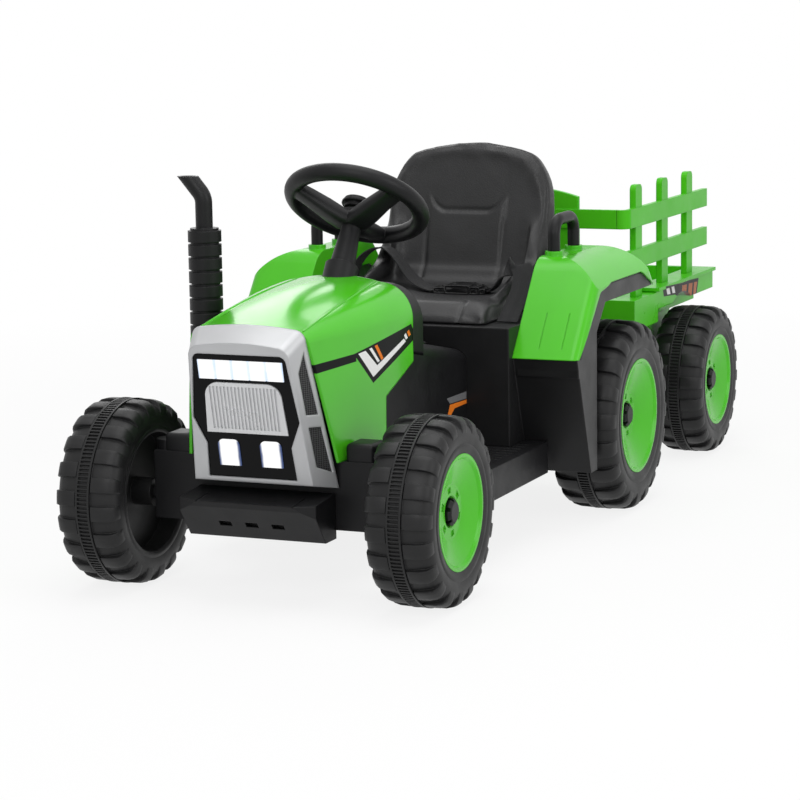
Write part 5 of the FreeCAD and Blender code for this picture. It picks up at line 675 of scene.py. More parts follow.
class Bench:
    """Modelling by operators, one piece at a time."""

    MERGE = 0.00001
    LOOK_FROM = 0.04
    BEAD_STEPS = 8
    BEAD_CORNERS = 3

    @staticmethod
    def done() -> None:
        """Leaves edit mode."""
        bpy.ops.object.mode_set(mode="OBJECT")

    @staticmethod
    def clear() -> None:
        """Leaves edit mode and deselects everything."""
        if bpy.context.object is not None and bpy.context.object.mode != "OBJECT":
            Bench.done()
        bpy.ops.object.select_all(action="DESELECT")

    @staticmethod
    def take(item: Piece) -> None:
        """Makes one piece the only selected and the active one.

        Args:
            item: the piece.
        """
        Bench.clear()
        item.select_set(True)
        bpy.context.view_layer.objects.active = item

    @staticmethod
    def added(name: str) -> Piece:
        """What was just added, under its name."""
        bpy.context.object.name = name
        return bpy.context.object

    @staticmethod
    def change(item: Piece, kind: str, **settings: object) -> None:
        """Adds a modifier and applies it at once.

        Args:
            item: the piece.
            kind: the modifier's type.
            settings: its properties.
        """
        modifier = item.modifiers.new(kind.lower(), kind)
        for key, value in settings.items():
            setattr(modifier, key, value)
        Bench.take(item)
        bpy.ops.object.modifier_apply(modifier=modifier.name)

    @staticmethod
    def block(name: str, low: Vector, high: Vector) -> Piece:
        """Adds a block between two corners.

        Args:
            name: the piece's name.
            low: lowest corner.
            high: highest corner.

        Returns:
            The piece, still to be shaped.
        """
        Bench.clear()
        bpy.ops.mesh.primitive_cube_add(size=1.0, location=(low + high) / 2)
        item = Bench.added(name)
        item.scale = high - low
        bpy.ops.object.transform_apply(location=True, rotation=True, scale=True)
        return item

    @staticmethod
    def outline(name: str, corners: Sequence[Vector], filled: bool = False) -> Piece:
        """Adds a closed outline through the given corners.

        Args:
            name: the piece's name.
            corners: where its corners are.
            filled: whether it carries a face.

        Returns:
            The piece, still to be shaped.
        """
        Bench.clear()
        bpy.ops.mesh.primitive_circle_add(vertices=len(corners), fill_type="NGON" if filled else "NOTHING")
        item = Bench.added(name)
        for vertex, corner in zip(item.data.vertices, corners):
            vertex.co = corner
        return item

    @staticmethod
    def edit(item: Piece) -> None:
        """Opens a piece in edit mode with everything selected.

        Args:
            item: the piece.
        """
        Bench.take(item)
        bpy.ops.object.mode_set(mode="EDIT")
        bpy.ops.mesh.select_all(action="SELECT")

    @staticmethod
    def pick_faces(item: Piece, way: Axis) -> None:
        """Opens a piece and selects the faces that point along an axis.

        Args:
            item: the piece.
            way: the axis.
        """
        Bench.edit(item)
        bpy.ops.mesh.select_mode(type="FACE")
        bpy.ops.mesh.select_all(action="DESELECT")
        mesh = bmesh.from_edit_mesh(item.data)
        for face in mesh.faces:
            face.select_set(face.normal.dot(way.vector) > FACING)
        bmesh.update_edit_mesh(item.data)

    @staticmethod
    def spin(item: Piece, centre: Vector, axis: Vector, angle: float, steps: int,
             copies: bool = False) -> None:
        """Spins all of a piece round an axis.

        Args:
            item: the piece.
            centre: a point of the axis.
            axis: its direction.
            angle: how far, in radians.
            steps: in how many steps.
            copies: whether it is repeated instead of swept.
        """
        Bench.edit(item)
        bpy.ops.mesh.spin(steps=steps, angle=angle, center=centre, axis=axis, dupli=copies)
        Bench.done()

    @staticmethod
    def repeat(item: Piece, centre: Vector, axis: Vector, count: int) -> None:
        """Repeats all of a piece evenly round an axis, until there are that many."""
        Bench.spin(item, centre, axis, FULL_TURN * (count - 1) / count, count - 1, copies=True)

    @staticmethod
    def mend(item: Piece) -> None:
        """Merges doubles and turns all faces outwards.

        Args:
            item: the piece.
        """
        Bench.edit(item)
        bpy.ops.mesh.remove_doubles(threshold=Bench.MERGE)
        bpy.ops.mesh.normals_make_consistent(inside=False)
        Bench.done()

    @staticmethod
    def inset(steps: Sequence[Corner]) -> None:
        """Insets the selected faces in steps, each by a width and a rise in mm."""
        for width, rise in steps:
            bpy.ops.mesh.inset(thickness=width * MM, depth=rise * MM)

    @staticmethod
    def soften(item: Piece, width: float, segments: int = 2, angle: float = DEFAULT_EDGE) -> None:
        """Bevels a piece's sharp edges.

        Args:
            item: the piece.
            width: bevel width in metres.
            segments: steps of the bevel.
            angle: edges sharper than this, in degrees, are bevelled.
        """
        Bench.change(item, "BEVEL", width=width, segments=segments, limit_method="ANGLE",
                     angle_limit=math.radians(angle))

    @staticmethod
    def smooth(item: Piece, angle: float) -> None:
        """Shades a piece smooth below an angle in degrees."""
        Bench.take(item)
        bpy.ops.object.shade_smooth_by_angle(angle=math.radians(angle))

    @staticmethod
    def join(name: str, items: Sequence[Piece]) -> Piece:
        """Joins pieces into the first.

        Args:
            name: the joined piece's name.
            items: the pieces.

        Returns:
            The joined piece.
        """
        Bench.clear()
        for item in items:
            item.select_set(True)
        bpy.context.view_layer.objects.active = items[0]
        bpy.ops.object.join()
        items[0].name = name
        return items[0]

    @staticmethod
    def loft(name: str, loops: Sequence[Sequence[Vector]]) -> Piece:
        """Bridges a row of closed outlines into one closed skin.

        Args:
            name: the piece's name.
            loops: the outlines, each with as many corners as the others.

        Returns:
            The piece.
        """
        rings = [Bench.outline(f"{name}_{index}", loop) for index, loop in enumerate(loops)]
        skin = Bench.join(name, rings)
        Bench.edit(skin)
        bpy.ops.mesh.select_mode(type="EDGE")
        bpy.ops.mesh.select_all(action="SELECT")
        bpy.ops.mesh.bridge_edge_loops()
        bpy.ops.mesh.select_all(action="SELECT")
        bpy.ops.mesh.fill_holes(sides=0)
        bpy.ops.mesh.normals_make_consistent(inside=False)
        Bench.done()
        return skin

    @staticmethod
    def turned(name: str, profile: Sequence[Corner], steps: int, stand: Matrix) -> Piece:
        """Turns a profile round its upright axis and puts it in its place.

        Args:
            name: the piece's name.
            profile: closed outline of distances from the axis and heights, in mm.
            steps: steps of the turn.
            stand: from the piece's own upright axes to the frame.

        Returns:
            The piece.
        """
        item = Bench.outline(name, [Vector((out, 0.0, up)) * MM for out, up in profile])
        Bench.spin(item, Vector(), Axis.HEIGHT.vector, FULL_TURN, steps)
        Bench.mend(item)
        Bench.smooth(item, TURNED_EDGE)
        item.data.transform(stand)
        return item

    @staticmethod
    def path(name: str, points: Sequence[Vector], steps: int) -> Piece:
        """Adds a smooth line.

        Args:
            name: its name.
            points: what guides it, in metres.
            steps: its steps from point to point.

        Returns:
            The line, a curve.
        """
        Bench.clear()
        bpy.ops.curve.primitive_nurbs_path_add()
        line = Bench.added(name)
        spline = line.data.splines[0]
        spline.points.add(len(points) - len(spline.points))
        for point, place in zip(spline.points, points):
            point.co = (*place, 1.0)
        spline.order_u = 3
        spline.use_endpoint_u = True
        spline.resolution_u = steps
        return line

    @staticmethod
    def bead(name: str, points: Sequence[Vector], radius: float) -> Piece:
        """A round bead along a line.

        Args:
            name: the piece's name.
            points: the line, in metres.
            radius: the bead's radius in metres.

        Returns:
            The piece.
        """
        line = Bench.path(name, points, Bench.BEAD_STEPS)
        line.data.bevel_depth = radius
        line.data.bevel_resolution = Bench.BEAD_CORNERS
        line.data.use_fill_caps = True
        Bench.take(line)
        bpy.ops.object.convert(target="MESH")
        bead = bpy.context.object
        Bench.mend(bead)
        Bench.smooth(bead, ROUND_EDGE)
        return bead

    @staticmethod
    def onto(node: str, spot: Vector, way: Vector) -> Vector:
        """Where a look from outside meets a node.

        Args:
            node: the node's name.
            spot: a point near its surface.
            way: the surface's outward direction.

        Returns:
            The point on the surface, or the given point where there is none.
        """
        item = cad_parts[node]
        back = item.matrix_world.inverted()
        start = back @ (spot + way * Bench.LOOK_FROM)
        hit, place, _, _ = item.ray_cast(start, back.to_3x3() @ -way)
        return item.matrix_world @ place if hit else spot

    @staticmethod
    def copy(item: Piece, name: str, change: Matrix) -> Piece:
        """A copy with its own mesh, moved by a matrix.

        Args:
            item: what is copied.
            name: the copy's name.
            change: where it goes.

        Returns:
            The copy.
        """
        twin = item.copy()
        twin.data = item.data.copy()
        twin.name = name
        bpy.context.scene.collection.objects.link(twin)
        twin.data.transform(change)
        if change.determinant() < 0:
            twin.data.flip_normals()
        return twin

    @staticmethod
    def settle(item: Piece, body: str, coat: Coat, slot: str) -> None:
        """Paints a piece and lets it ride on a body.

        Args:
            item: the piece.
            body: the CAD body.
            coat: its finish.
            slot: the record's material slot; not used.
        """
        PAINT.paint(item, coat)
        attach(item, body)
        LOG.info("%s: %d faces, on %s", item.name, len(item.data.polygons), body)


@dataclass(frozen=True)
class SoftBox:
    """One soft lamp: where it hangs, its side in metres and its power in watts."""

    name: str
    spot: Place
    side: float
    power: float


@dataclass
class Studio:
    """Camera at the photograph's angle, soft lamps, pale floor and white surroundings."""

    stand: Vector = field(default_factory=lambda: Vector((3.3287, 1.3462, 0.7283)))
    heading: float = 203.129
    dip: float = 9.197
    roll: float = -0.935
    lens: float = 118.97
    sensor: float = 36.0
    view_end: float = 60.0
    aim: Place = (0.1, 0.0, 0.25)
    lamps: tuple[SoftBox, ...] = (
        SoftBox("overhead_box", (0.2, 0.2, 2.6), 2.2, 38.0),
        SoftBox("front_box", (3.0, 0.6, 1.9), 1.5, 25.0),
        SoftBox("left_box", (0.9, 3.0, 1.5), 1.8, 27.0),
        SoftBox("rear_box", (-2.4, -1.6, 2.0), 1.6, 17.0),
    )
    ambient: float = 0.36
    floor_half: float = 9.0
    floor_tones: tuple[Colour, Colour] = ((0.86, 0.86, 0.86), (0.9, 0.9, 0.9))
    floor_patch: float = 0.4
    floor_roughness: float = 0.9
    fade: Corner = (0.9, 2.2)
    fade_share: float = 0.84

    def camera(self) -> None:
        """Sets up the camera."""
        heading, dip, roll = (math.radians(value) for value in (self.heading, self.dip, self.roll))
        ahead = Vector((math.cos(dip) * math.cos(heading), math.cos(dip) * math.sin(heading), -math.sin(dip)))
        right = ahead.cross(Axis.HEIGHT.vector).normalized()
        up = right.cross(ahead)
        across = right * math.cos(roll) + up * math.sin(roll)
        over = up * math.cos(roll) - right * math.sin(roll)
        Bench.clear()
        bpy.ops.object.camera_add()
        camera = Bench.added("photo_camera")
        turn = Matrix((across, over, -ahead)).transposed().to_4x4()
        camera.matrix_world = Matrix.Translation(self.stand) @ turn
        camera.data.lens = self.lens
        camera.data.sensor_width = self.sensor
        camera.data.clip_end = self.view_end
        bpy.context.scene.camera = camera

    def hang(self, box: SoftBox) -> None:
        """Hangs one soft lamp, turned to the part.

        Args:
            box: the lamp.
        """
        Bench.clear()
        bpy.ops.object.light_add(type="AREA", location=box.spot)
        lamp = Bench.added(box.name)
        lamp.rotation_euler = (Vector(self.aim) - Vector(box.spot)).to_track_quat("-Z", "Y").to_euler()
        lamp.data.size = box.side
        lamp.data.energy = box.power

    def seen(self, tree: bpy.types.NodeTree) -> Socket:
        """A mask of the rays that show the surroundings as they are.

        Args:
            tree: the node tree that it is for.

        Returns:
            1 for camera, glossy and transmission rays.
        """
        path = tree.nodes.new("ShaderNodeLightPath")
        mask = path.outputs["Is Camera Ray"]
        for other in ("Is Glossy Ray", "Is Transmission Ray"):
            node = tree.nodes.new("ShaderNodeMath")
            node.operation = "MAXIMUM"
            tree.links.new(mask, node.inputs[0])
            tree.links.new(path.outputs[other], node.inputs[1])
            mask = node.outputs[0]
        return mask

    def surroundings(self) -> None:
        """White to look at, and a plain grey as light."""
        world = bpy.data.worlds.new("white_studio")
        bpy.context.scene.world = world
        world.use_nodes = True
        tree = world.node_tree
        back = tree.nodes["Background"]
        back.inputs["Color"].default_value = (1.0, 1.0, 1.0, 1.0)
        level = tree.nodes.new("ShaderNodeMapRange")
        tree.links.new(self.seen(tree), level.inputs[0])
        level.inputs["To Min"].default_value = self.ambient
        tree.links.new(level.outputs[0], back.inputs["Strength"])

    def floor(self) -> None:
        """A pale floor that keeps a faint shadow."""
        Bench.clear()
        bpy.ops.mesh.primitive_plane_add(size=2.0 * self.floor_half)
        floor = Bench.added("studio_floor")
        Bench.edit(floor)
        bpy.ops.mesh.subdivide(number_cuts=3)
        Bench.done()
        shade = Shade("pale_floor")
        tree = shade.material.node_tree
        shade.put("Base Color", shade.blend(shade.noise(self.floor_patch, detail=3.0), *self.floor_tones))
        shade.put("Roughness", self.floor_roughness)
        glow = shade.add("ShaderNodeEmission")
        mix = shade.add("ShaderNodeMixShader")
        along, across, _ = shade.axes()
        away = shade.maths("SQRT", shade.maths("MULTIPLY_ADD", along, along,
                                               shade.maths("MULTIPLY", across, across)))
        share = shade.maths("MULTIPLY", self.seen(tree), shade.remap(away, *self.fade, self.fade_share, 1.0))
        shade.feed(mix.inputs[0], share)
        shade.links.new(shade.shader.outputs[0], mix.inputs[1])
        shade.links.new(glow.outputs[0], mix.inputs[2])
        shade.links.new(mix.outputs[0], shade.nodes["Material Output"].inputs["Surface"])
        floor.data.materials.append(shade.material)

    def build(self) -> None:
        """Sets up the whole studio."""
        self.camera()
        for box in self.lamps:
            self.hang(box)
        self.surroundings()
        self.floor()
        bpy.context.scene.view_settings.view_transform = "Standard"
        LOG.info("studio ready")


@dataclass
class Dressing:
    """Finishes of the CAD nodes that stay as they are."""

    by_name: dict[str, Coat] = field(default_factory=lambda: {
        "chassis": Coat.TUNNEL,
        "hood": Coat.HOOD,
        # the seat box takes the lightened black: painted light for its dim front
        "rear_body": Coat.BODY,
        "trailer_bed": Coat.BED,
        "grille_surround": Coat.SILVER,
        "grille_panel": Coat.PANEL,
        "radiator_grille": Coat.BRIGHT,
        "front_lights": Coat.LENS,
        "side_vents": Coat.VENT,
        "battery": Coat.CASE,
        "control_box": Coat.CASE,
        "rear_axle": Coat.STEEL,
        "steering_shaft": Coat.STEEL,
        "tie_rod": Coat.STEEL,
        "trailer_axle": Coat.STEEL,
        "hitch_pin": Coat.STEEL,
    })
    by_ending: dict[str, Coat] = field(default_factory=lambda: {
        "_rim": Coat.GREEN,
        "_fender": Coat.GREEN,
        "_fence": Coat.FENCE,
    })

    def coat_of(self, node: str) -> Coat:
        """The finish of one node.

        Args:
            node: its name.

        Returns:
            The finish, black plastic where nothing else is said.
        """
        if node in self.by_name:
            return self.by_name[node]
        for ending, coat in self.by_ending.items():
            if node.endswith(ending):
                return coat
        return Coat.BLACK

    def build(self) -> None:
        """Paints every node."""
        for name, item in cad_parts.items():
            PAINT.paint(item, self.coat_of(name))
        LOG.info("%d nodes painted", len(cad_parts))


@dataclass
class Tyre:
    """A pair of moulded tyres with a ladder band and chunky shoulder lugs, sizes in mm."""

    axle: str
    radius: float
    width: float
    rim: float
    bore: float
    centre: Vector = field(default_factory=Vector)
    band: float = 18.0
    rail: float = 2.4
    slot: float = 2.6
    pitch: float = 5.0
    lug_height: float = 3.6
    lug_count: int = 20
    lug_angle: float = 9.4
    lug_steps: int = 3
    hub: float = 17.0
    hub_face: float = 18.0
    hub_foot: float = 2.0
    web: float = 8.0
    web_wall: float = 5.0
    seat_gap: float = 0.1
    lip: float = 0.93
    well: float = 0.645
    wall: tuple[Corner, ...] = (
        (0.975, 0.668), (0.985, 0.70), (0.965, 0.712), (0.99, 0.75), (0.995, 0.80), (0.965, 0.86),
        (0.88, 0.905), (0.74, 0.936), (0.5, 0.957),
    )
    lug: tuple[Corner, ...] = (
        (0.62, 0.992), (0.8, 0.975), (0.91, 0.945), (0.965, 0.905), (0.99, 0.86), (0.985, 0.82), (0.95, 0.83),
        (0.86, 0.88), (0.6, 0.93),
    )
    lug_gap: float = 0.9
    lug_root: float = 2.0
    lug_drop: float = 0.5
    lug_edge: float = 1.3
    rail_root: float = 1.0
    rung_share: float = 0.26
    rung_taper: float = 0.72
    rung_sink: float = 0.4
    rung_drop: float = 0.3
    rung_overlap: float = 0.2
    turn_steps: int = 120
    band_steps: int = 160

    def at(self, across: float, out: float) -> Vector:
        """A point of the left wheel's section, across from the tyre's middle and out from its axis, in mm."""
        return self.centre + Vector((0.0, across * MM, out * MM))

    def carcass(self) -> Piece:
        """The turned body with sidewalls, web and hub."""
        half, radius = self.width / 2.0, self.radius
        seat, well = self.rim + self.seat_gap, radius * self.well
        foot, behind = self.hub_foot - half, -self.web - self.web_wall
        outer = [(half * across, radius * up) for across, up in ((self.lip, seat / radius), *self.wall)]
        crown = (self.band / 2.0, radius - self.lug_height)
        inner = [(-across, up) for across, up in reversed([*outer[1:], crown])]
        profile = [
            (foot, self.bore), (self.hub_face, self.bore), (self.hub_face, self.hub), (-self.web, self.hub),
            (-self.web, seat), *outer, crown, *inner, (-half * self.lip, well), (behind, well),
            (behind, self.hub), (foot, self.hub),
        ]
        body = Bench.outline("carcass", [self.at(*point) for point in profile])
        Bench.spin(body, self.centre, Axis.WIDTH.vector, FULL_TURN, self.turn_steps)
        Bench.mend(body)
        Bench.smooth(body, ROUND_EDGE)
        return body

    def lugs(self, side: float) -> Piece:
        """The lugs of one shoulder.

        Args:
            side: 1 for the outer shoulder, -1 for the inner one.

        Returns:
            All lugs of that shoulder.
        """
        half, radius = self.width / 2.0, self.radius
        edge = self.band / 2.0 + self.lug_gap
        section = [(edge, radius - self.lug_height - self.lug_root), (edge, radius - self.lug_drop)]
        section += [(half * across, radius * up) for across, up in self.lug]
        lug = Bench.outline("lug", [self.at(across * side, out) for across, out in section], filled=True)
        Bench.spin(lug, self.centre, Axis.WIDTH.vector, math.radians(self.lug_angle), self.lug_steps)
        Bench.mend(lug)
        Bench.soften(lug, self.lug_edge * MM, angle=ROUND_EDGE)
        if side < 0:
            half_pitch = Matrix.Rotation(math.pi / self.lug_count, 4, "Y")
            there, back = Matrix.Translation(self.centre), Matrix.Translation(-self.centre)
            lug.data.transform(there @ half_pitch @ back)
        Bench.repeat(lug, self.centre, Axis.WIDTH.vector, self.lug_count)
        Bench.smooth(lug, ROUND_EDGE)
        return lug

    def ladder(self) -> Piece:
        """The ribbed band: two rails, a floor between them and the rungs."""
        half, radius = self.band / 2.0, self.radius
        low = radius - self.lug_height - self.rail_root
        inside = half - self.rail
        floor = radius - self.slot
        section = [(-half, low), (-half, radius), (-inside, radius), (-inside, floor), (inside, floor),
                   (inside, radius), (half, radius), (half, low)]
        ring = Bench.outline("rails", [self.at(*point) for point in section])
        Bench.spin(ring, self.centre, Axis.WIDTH.vector, FULL_TURN, self.band_steps)
        Bench.mend(ring)
        Bench.smooth(ring, CRISP_EDGE)
        count = round(FULL_TURN * radius / self.pitch)
        reach = Vector((self.pitch * self.rung_share * MM, 0.0, 0.0))
        wide = inside + self.rung_overlap
        low_corner = self.at(-wide, floor - self.rung_sink) - reach
        high_corner = self.at(wide, radius - self.rung_drop) + reach
        rung = Bench.block("rung", low_corner, high_corner)
        Bench.pick_faces(rung, Axis.HEIGHT)
        bpy.ops.transform.resize(value=(self.rung_taper, 1.0, 1.0))
        Bench.done()
        Bench.repeat(rung, self.centre, Axis.WIDTH.vector, count)
        return Bench.join("ladder", [ring, rung])

    def build(self) -> None:
        """Builds the left tyre and its mirrored right one, in place of their nodes."""
        low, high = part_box(f"{self.axle}_left_tyre")
        self.centre = (low + high) / 2
        parts = [self.carcass(), self.lugs(1.0), self.lugs(-1.0), self.ladder()]
        left = Bench.join(f"{self.axle}_left_tread", parts)
        right = Bench.copy(left, f"{self.axle}_right_tread", MIRROR)
        for side, item in (("left", left), ("right", right)):
            Bench.settle(item, f"{self.axle}_{side}_wheel", Coat.TYRE, "tyre_plastic")
            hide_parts(f"{self.axle}_{side}_tyre")


@dataclass(frozen=True)
class Seam:
    """A rounded groove in a soft surface, by its depth and half its width."""

    depth: float
    half: float

    def sink(self, distance: float) -> float:
        """How far the surface sinks at a distance from the groove's middle."""
        return self.depth * math.exp(-(distance / self.half) ** 2)


@dataclass
class SeatPad:
    """The padded seat: the solid, remeshed, blown up a little and sewn; sizes in metres."""

    voxel: float = 0.0045
    shrink: float = 0.0032
    cap: float = 0.0045
    base: float = 0.275
    held: float = 0.004
    top: float = 0.301
    foot: Vector = field(default_factory=lambda: Vector((-0.035, 0.0, 0.2915)))
    lean: float = 14.5
    bolster: float = 0.093
    bolster_drop: float = 0.5
    bolster_run: float = 0.03
    hollow: float = 0.034
    hollow_behind: float = 0.3
    hollow_fade: float = 0.01
    front_facing: float = -0.1
    front_rounds: int = 14
    all_rounds: int = 3
    last_rounds: int = 10
    pressure: float = 3.0
    steps: int = 20
    back_facing: float = 0.4
    back_start: float = 0.018
    seam: float = 0.056
    seam_top: float = 0.1
    seam_fade: float = 0.012
    side_seam: Seam = Seam(0.0018, 0.003)
    smile: float = 0.112
    smile_flat: float = 0.03
    smile_end: float = 0.05
    smile_fade: float = 0.005
    smile_bend: float = 32.0
    smile_gap: float = 0.003
    smile_seam: Seam = Seam(0.0018, 0.0036)
    pocket: float = 0.0026
    pocket_start: float = 0.06
    pocket_fade: float = 0.04
    pocket_side: float = 0.005
    pocket_brim: float = 0.004
    rim_start: float = 0.08
    rim_facing: float = 0.5
    rim_seam: Seam = Seam(0.0012, 0.14)
    lip: Corner = (0.13, 0.31)
    lip_split: float = 0.08
    lip_seam: Seam = Seam(0.0022, 0.0022)

    def directions(self) -> tuple[Vector, Vector]:
        """Up along the backrest's face, and out of it."""
        tilt = math.radians(self.lean)
        return Vector((-math.sin(tilt), 0.0, math.cos(tilt))), Vector((math.cos(tilt), 0.0, math.sin(tilt)))

    def cove(self, place: Vector) -> Vector:
        """Rounds the corner between the cushion and the back.

        Args:
            place: a point of the surface.

        Returns:
            The point, or its place on the hollow round.
        """
        up, out = self.directions()
        along = (self.top + self.hollow - self.foot.z - out.z * self.hollow) / up.z
        centre = self.foot + out * self.hollow + up * along
        from_foot = place - self.foot
        reach = Vector((place.x - centre.x, place.z - centre.z))
        in_corner = from_foot.dot(up) < along and place.x < centre.x
        behind = -self.hollow_behind * self.hollow
        in_front = from_foot.dot(out) > behind and place.z > (self.base + self.top) / 2.0
        if not (in_corner and in_front) or reach.length < self.hollow:
            return place
        reach *= self.hollow / reach.length
        share = soft_step(self.bolster - abs(place.y), self.hollow_fade)
        return place.lerp(Vector((centre.x + reach.x, place.y, centre.z + reach.y)), share)

    @staticmethod
    def ease(pad: Piece, rounds: int, group: str = "") -> None:
        """Smooths the pad's surface for some rounds, or only one vertex group of it."""
        Bench.change(pad, "SMOOTH", factor=0.5, iterations=rounds, vertex_group=group)

    def blank(self) -> Piece:
        """A shrunken, evenly meshed copy of the seat's solid with lowered bolsters."""
        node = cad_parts["seat"]
        pad = bpy.data.objects.new("seat_pad", node.data.copy())
        bpy.context.scene.collection.objects.link(pad)
        Bench.mend(pad)
        pad.data.remesh_voxel_size = self.voxel
        Bench.take(pad)
        bpy.ops.object.voxel_remesh()
        _, out = self.directions()
        soft = pad.vertex_groups.new(name="soft")
        for vertex in pad.data.vertices:
            ahead = (vertex.co - self.foot).dot(out)
            if abs(vertex.co.y) > self.bolster and vertex.co.z > self.top and ahead > 0.0:
                share = 1.0 - self.bolster_drop * min(1.0, ahead / self.bolster_run)
                vertex.co.z = self.top + (vertex.co.z - self.top) * share
            if vertex.normal.dot(out) > self.front_facing and vertex.co.z > self.top - self.held:
                soft.add([vertex.index], 1.0, "REPLACE")
        self.ease(pad, self.front_rounds, soft.name)
        self.ease(pad, self.all_rounds)
        for vertex, normal in [(vertex, vertex.normal.copy()) for vertex in pad.data.vertices]:
            if vertex.co.z > self.base + self.held:
                vertex.co -= normal * self.shrink
        return pad

    def blow_up(self, pad: Piece) -> None:
        """Swells the pad with cloth under pressure, each point by no more than the cap.

        Args:
            pad: the seat.
        """
        rest = [vertex.co.copy() for vertex in pad.data.vertices]
        held = pad.vertex_groups.new(name="held")
        low = [vertex.index for vertex in pad.data.vertices if vertex.co.z < self.base + self.held]
        held.add(low, 1.0, "REPLACE")
        cloth = pad.modifiers.new("padding", "CLOTH")
        cloth.settings.quality = 4
        cloth.settings.use_pressure = True
        cloth.settings.uniform_pressure_force = self.pressure
        cloth.settings.vertex_group_mass = held.name
        cloth.settings.effector_weights.gravity = 0.0
        cloth.collision_settings.use_collision = False
        scene = bpy.context.scene
        for step in range(1, self.steps + 1):
            scene.frame_set(step)
        swollen = pad.evaluated_get(bpy.context.evaluated_depsgraph_get())
        moved = [vertex.co.copy() for vertex in swollen.data.vertices]
        pad.modifiers.remove(cloth)
        scene.frame_set(1)
        for vertex, start, end in zip(pad.data.vertices, rest, moved):
            way = end - start
            vertex.co = start + way * min(1.0, self.cap / max(way.length, Bench.MERGE))

    def sew(self, pad: Piece) -> None:
        """Presses the seams, the pocket's edge and the lip's split into the surface.

        Args:
            pad: the seat.
        """
        up, out = self.directions()
        for vertex, normal in [(vertex, vertex.normal.copy()) for vertex in pad.data.vertices]:
            rise, width = (vertex.co - self.foot).dot(up), abs(vertex.co.y)
            sink = 0.0
            facing = normal.dot(out)
            if facing > self.back_facing and rise > self.back_start:
                smile = self.smile + self.smile_bend * max(0.0, width - self.smile_flat) ** 2
                inside = soft_step(self.seam - width, self.pocket_side)
                inside *= soft_step(smile - rise, self.pocket_brim)
                sink -= self.pocket * inside * soft_step(rise - self.pocket_start, self.pocket_fade)
                shown = soft_step(self.seam_top - rise, self.seam_fade)
                sink += self.side_seam.sink(width - self.seam) * shown
                shown = soft_step(self.smile_end - width, self.smile_fade)
                sink += self.smile_seam.sink(rise - smile - self.smile_gap) * shown
            if rise > self.rim_start:
                sink += self.rim_seam.sink(facing - self.rim_facing)
            if vertex.co.x > self.lip[0] and vertex.co.z < self.lip[1]:
                sink += self.lip_seam.sink(width - self.lip_split)
            vertex.co -= normal * sink

    def build(self) -> None:
        """Builds the padded seat in place of its node."""
        pad = self.blank()
        self.blow_up(pad)
        for vertex in pad.data.vertices:
            vertex.co = self.cove(vertex.co)
        self.ease(pad, self.last_rounds)
        Bench.change(pad, "SUBSURF", levels=1, render_levels=1)
        self.sew(pad)
        bpy.ops.object.shade_smooth()
        Bench.settle(pad, "tractor", Coat.LEATHER, "seat_leather")
        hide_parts("seat")


@dataclass
class Buckle:
    """The belt's buckle: a housing with a press plate, a clip and a slide bar, sizes in mm."""

    middle: Place = (58.0, 42.0, 308.1)
    height: float = 13.0
    parts: tuple[tuple[float, float, float, float], ...] = (
        (-37.0, -17.0, 13.0, 9.0), (-19.0, 17.0, 18.0, 13.0),
        (15.0, 30.0, 15.0, 11.0), (28.0, 37.0, 12.0, 8.0),
    )
    plate: tuple[Corner, ...] = ((2.4, 0.0), (0.5, -1.1), (0.8, 0.5))
    edge: float = 1.0

    def part(self, index: int, start: float, end: float, half: float, height: float) -> Piece:
        """One length of the buckle with a sunken plate on its top and its front.

        Args:
            index: its place in the row.
            start: where it begins across the seat.
            end: where it ends.
            half: half its depth.
            height: its height.

        Returns:
            The part, standing on the buckle's own underside.
        """
        foot = -self.height / 2.0
        low, high = Vector((-half, start, foot)), Vector((half, end, foot + height))
        middle = Vector(self.middle)
        item = Bench.block(f"buckle_part_{index}", (middle + low) * MM, (middle + high) * MM)
        for way in (Axis.HEIGHT, Axis.LENGTH):
            Bench.pick_faces(item, way)
            Bench.inset(self.plate)
            Bench.done()
        Bench.soften(item, self.edge * MM)
        return item

    def build(self) -> None:
        """Builds the buckle in place of its node."""
        parts = [self.part(index, *sizes) for index, sizes in enumerate(self.parts)]
        buckle = Bench.join("buckle", parts)
        Bench.smooth(buckle, CRISP_EDGE)
        Bench.settle(buckle, "tractor", Coat.GLOSS, "black_plastic")
        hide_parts("belt_buckle")


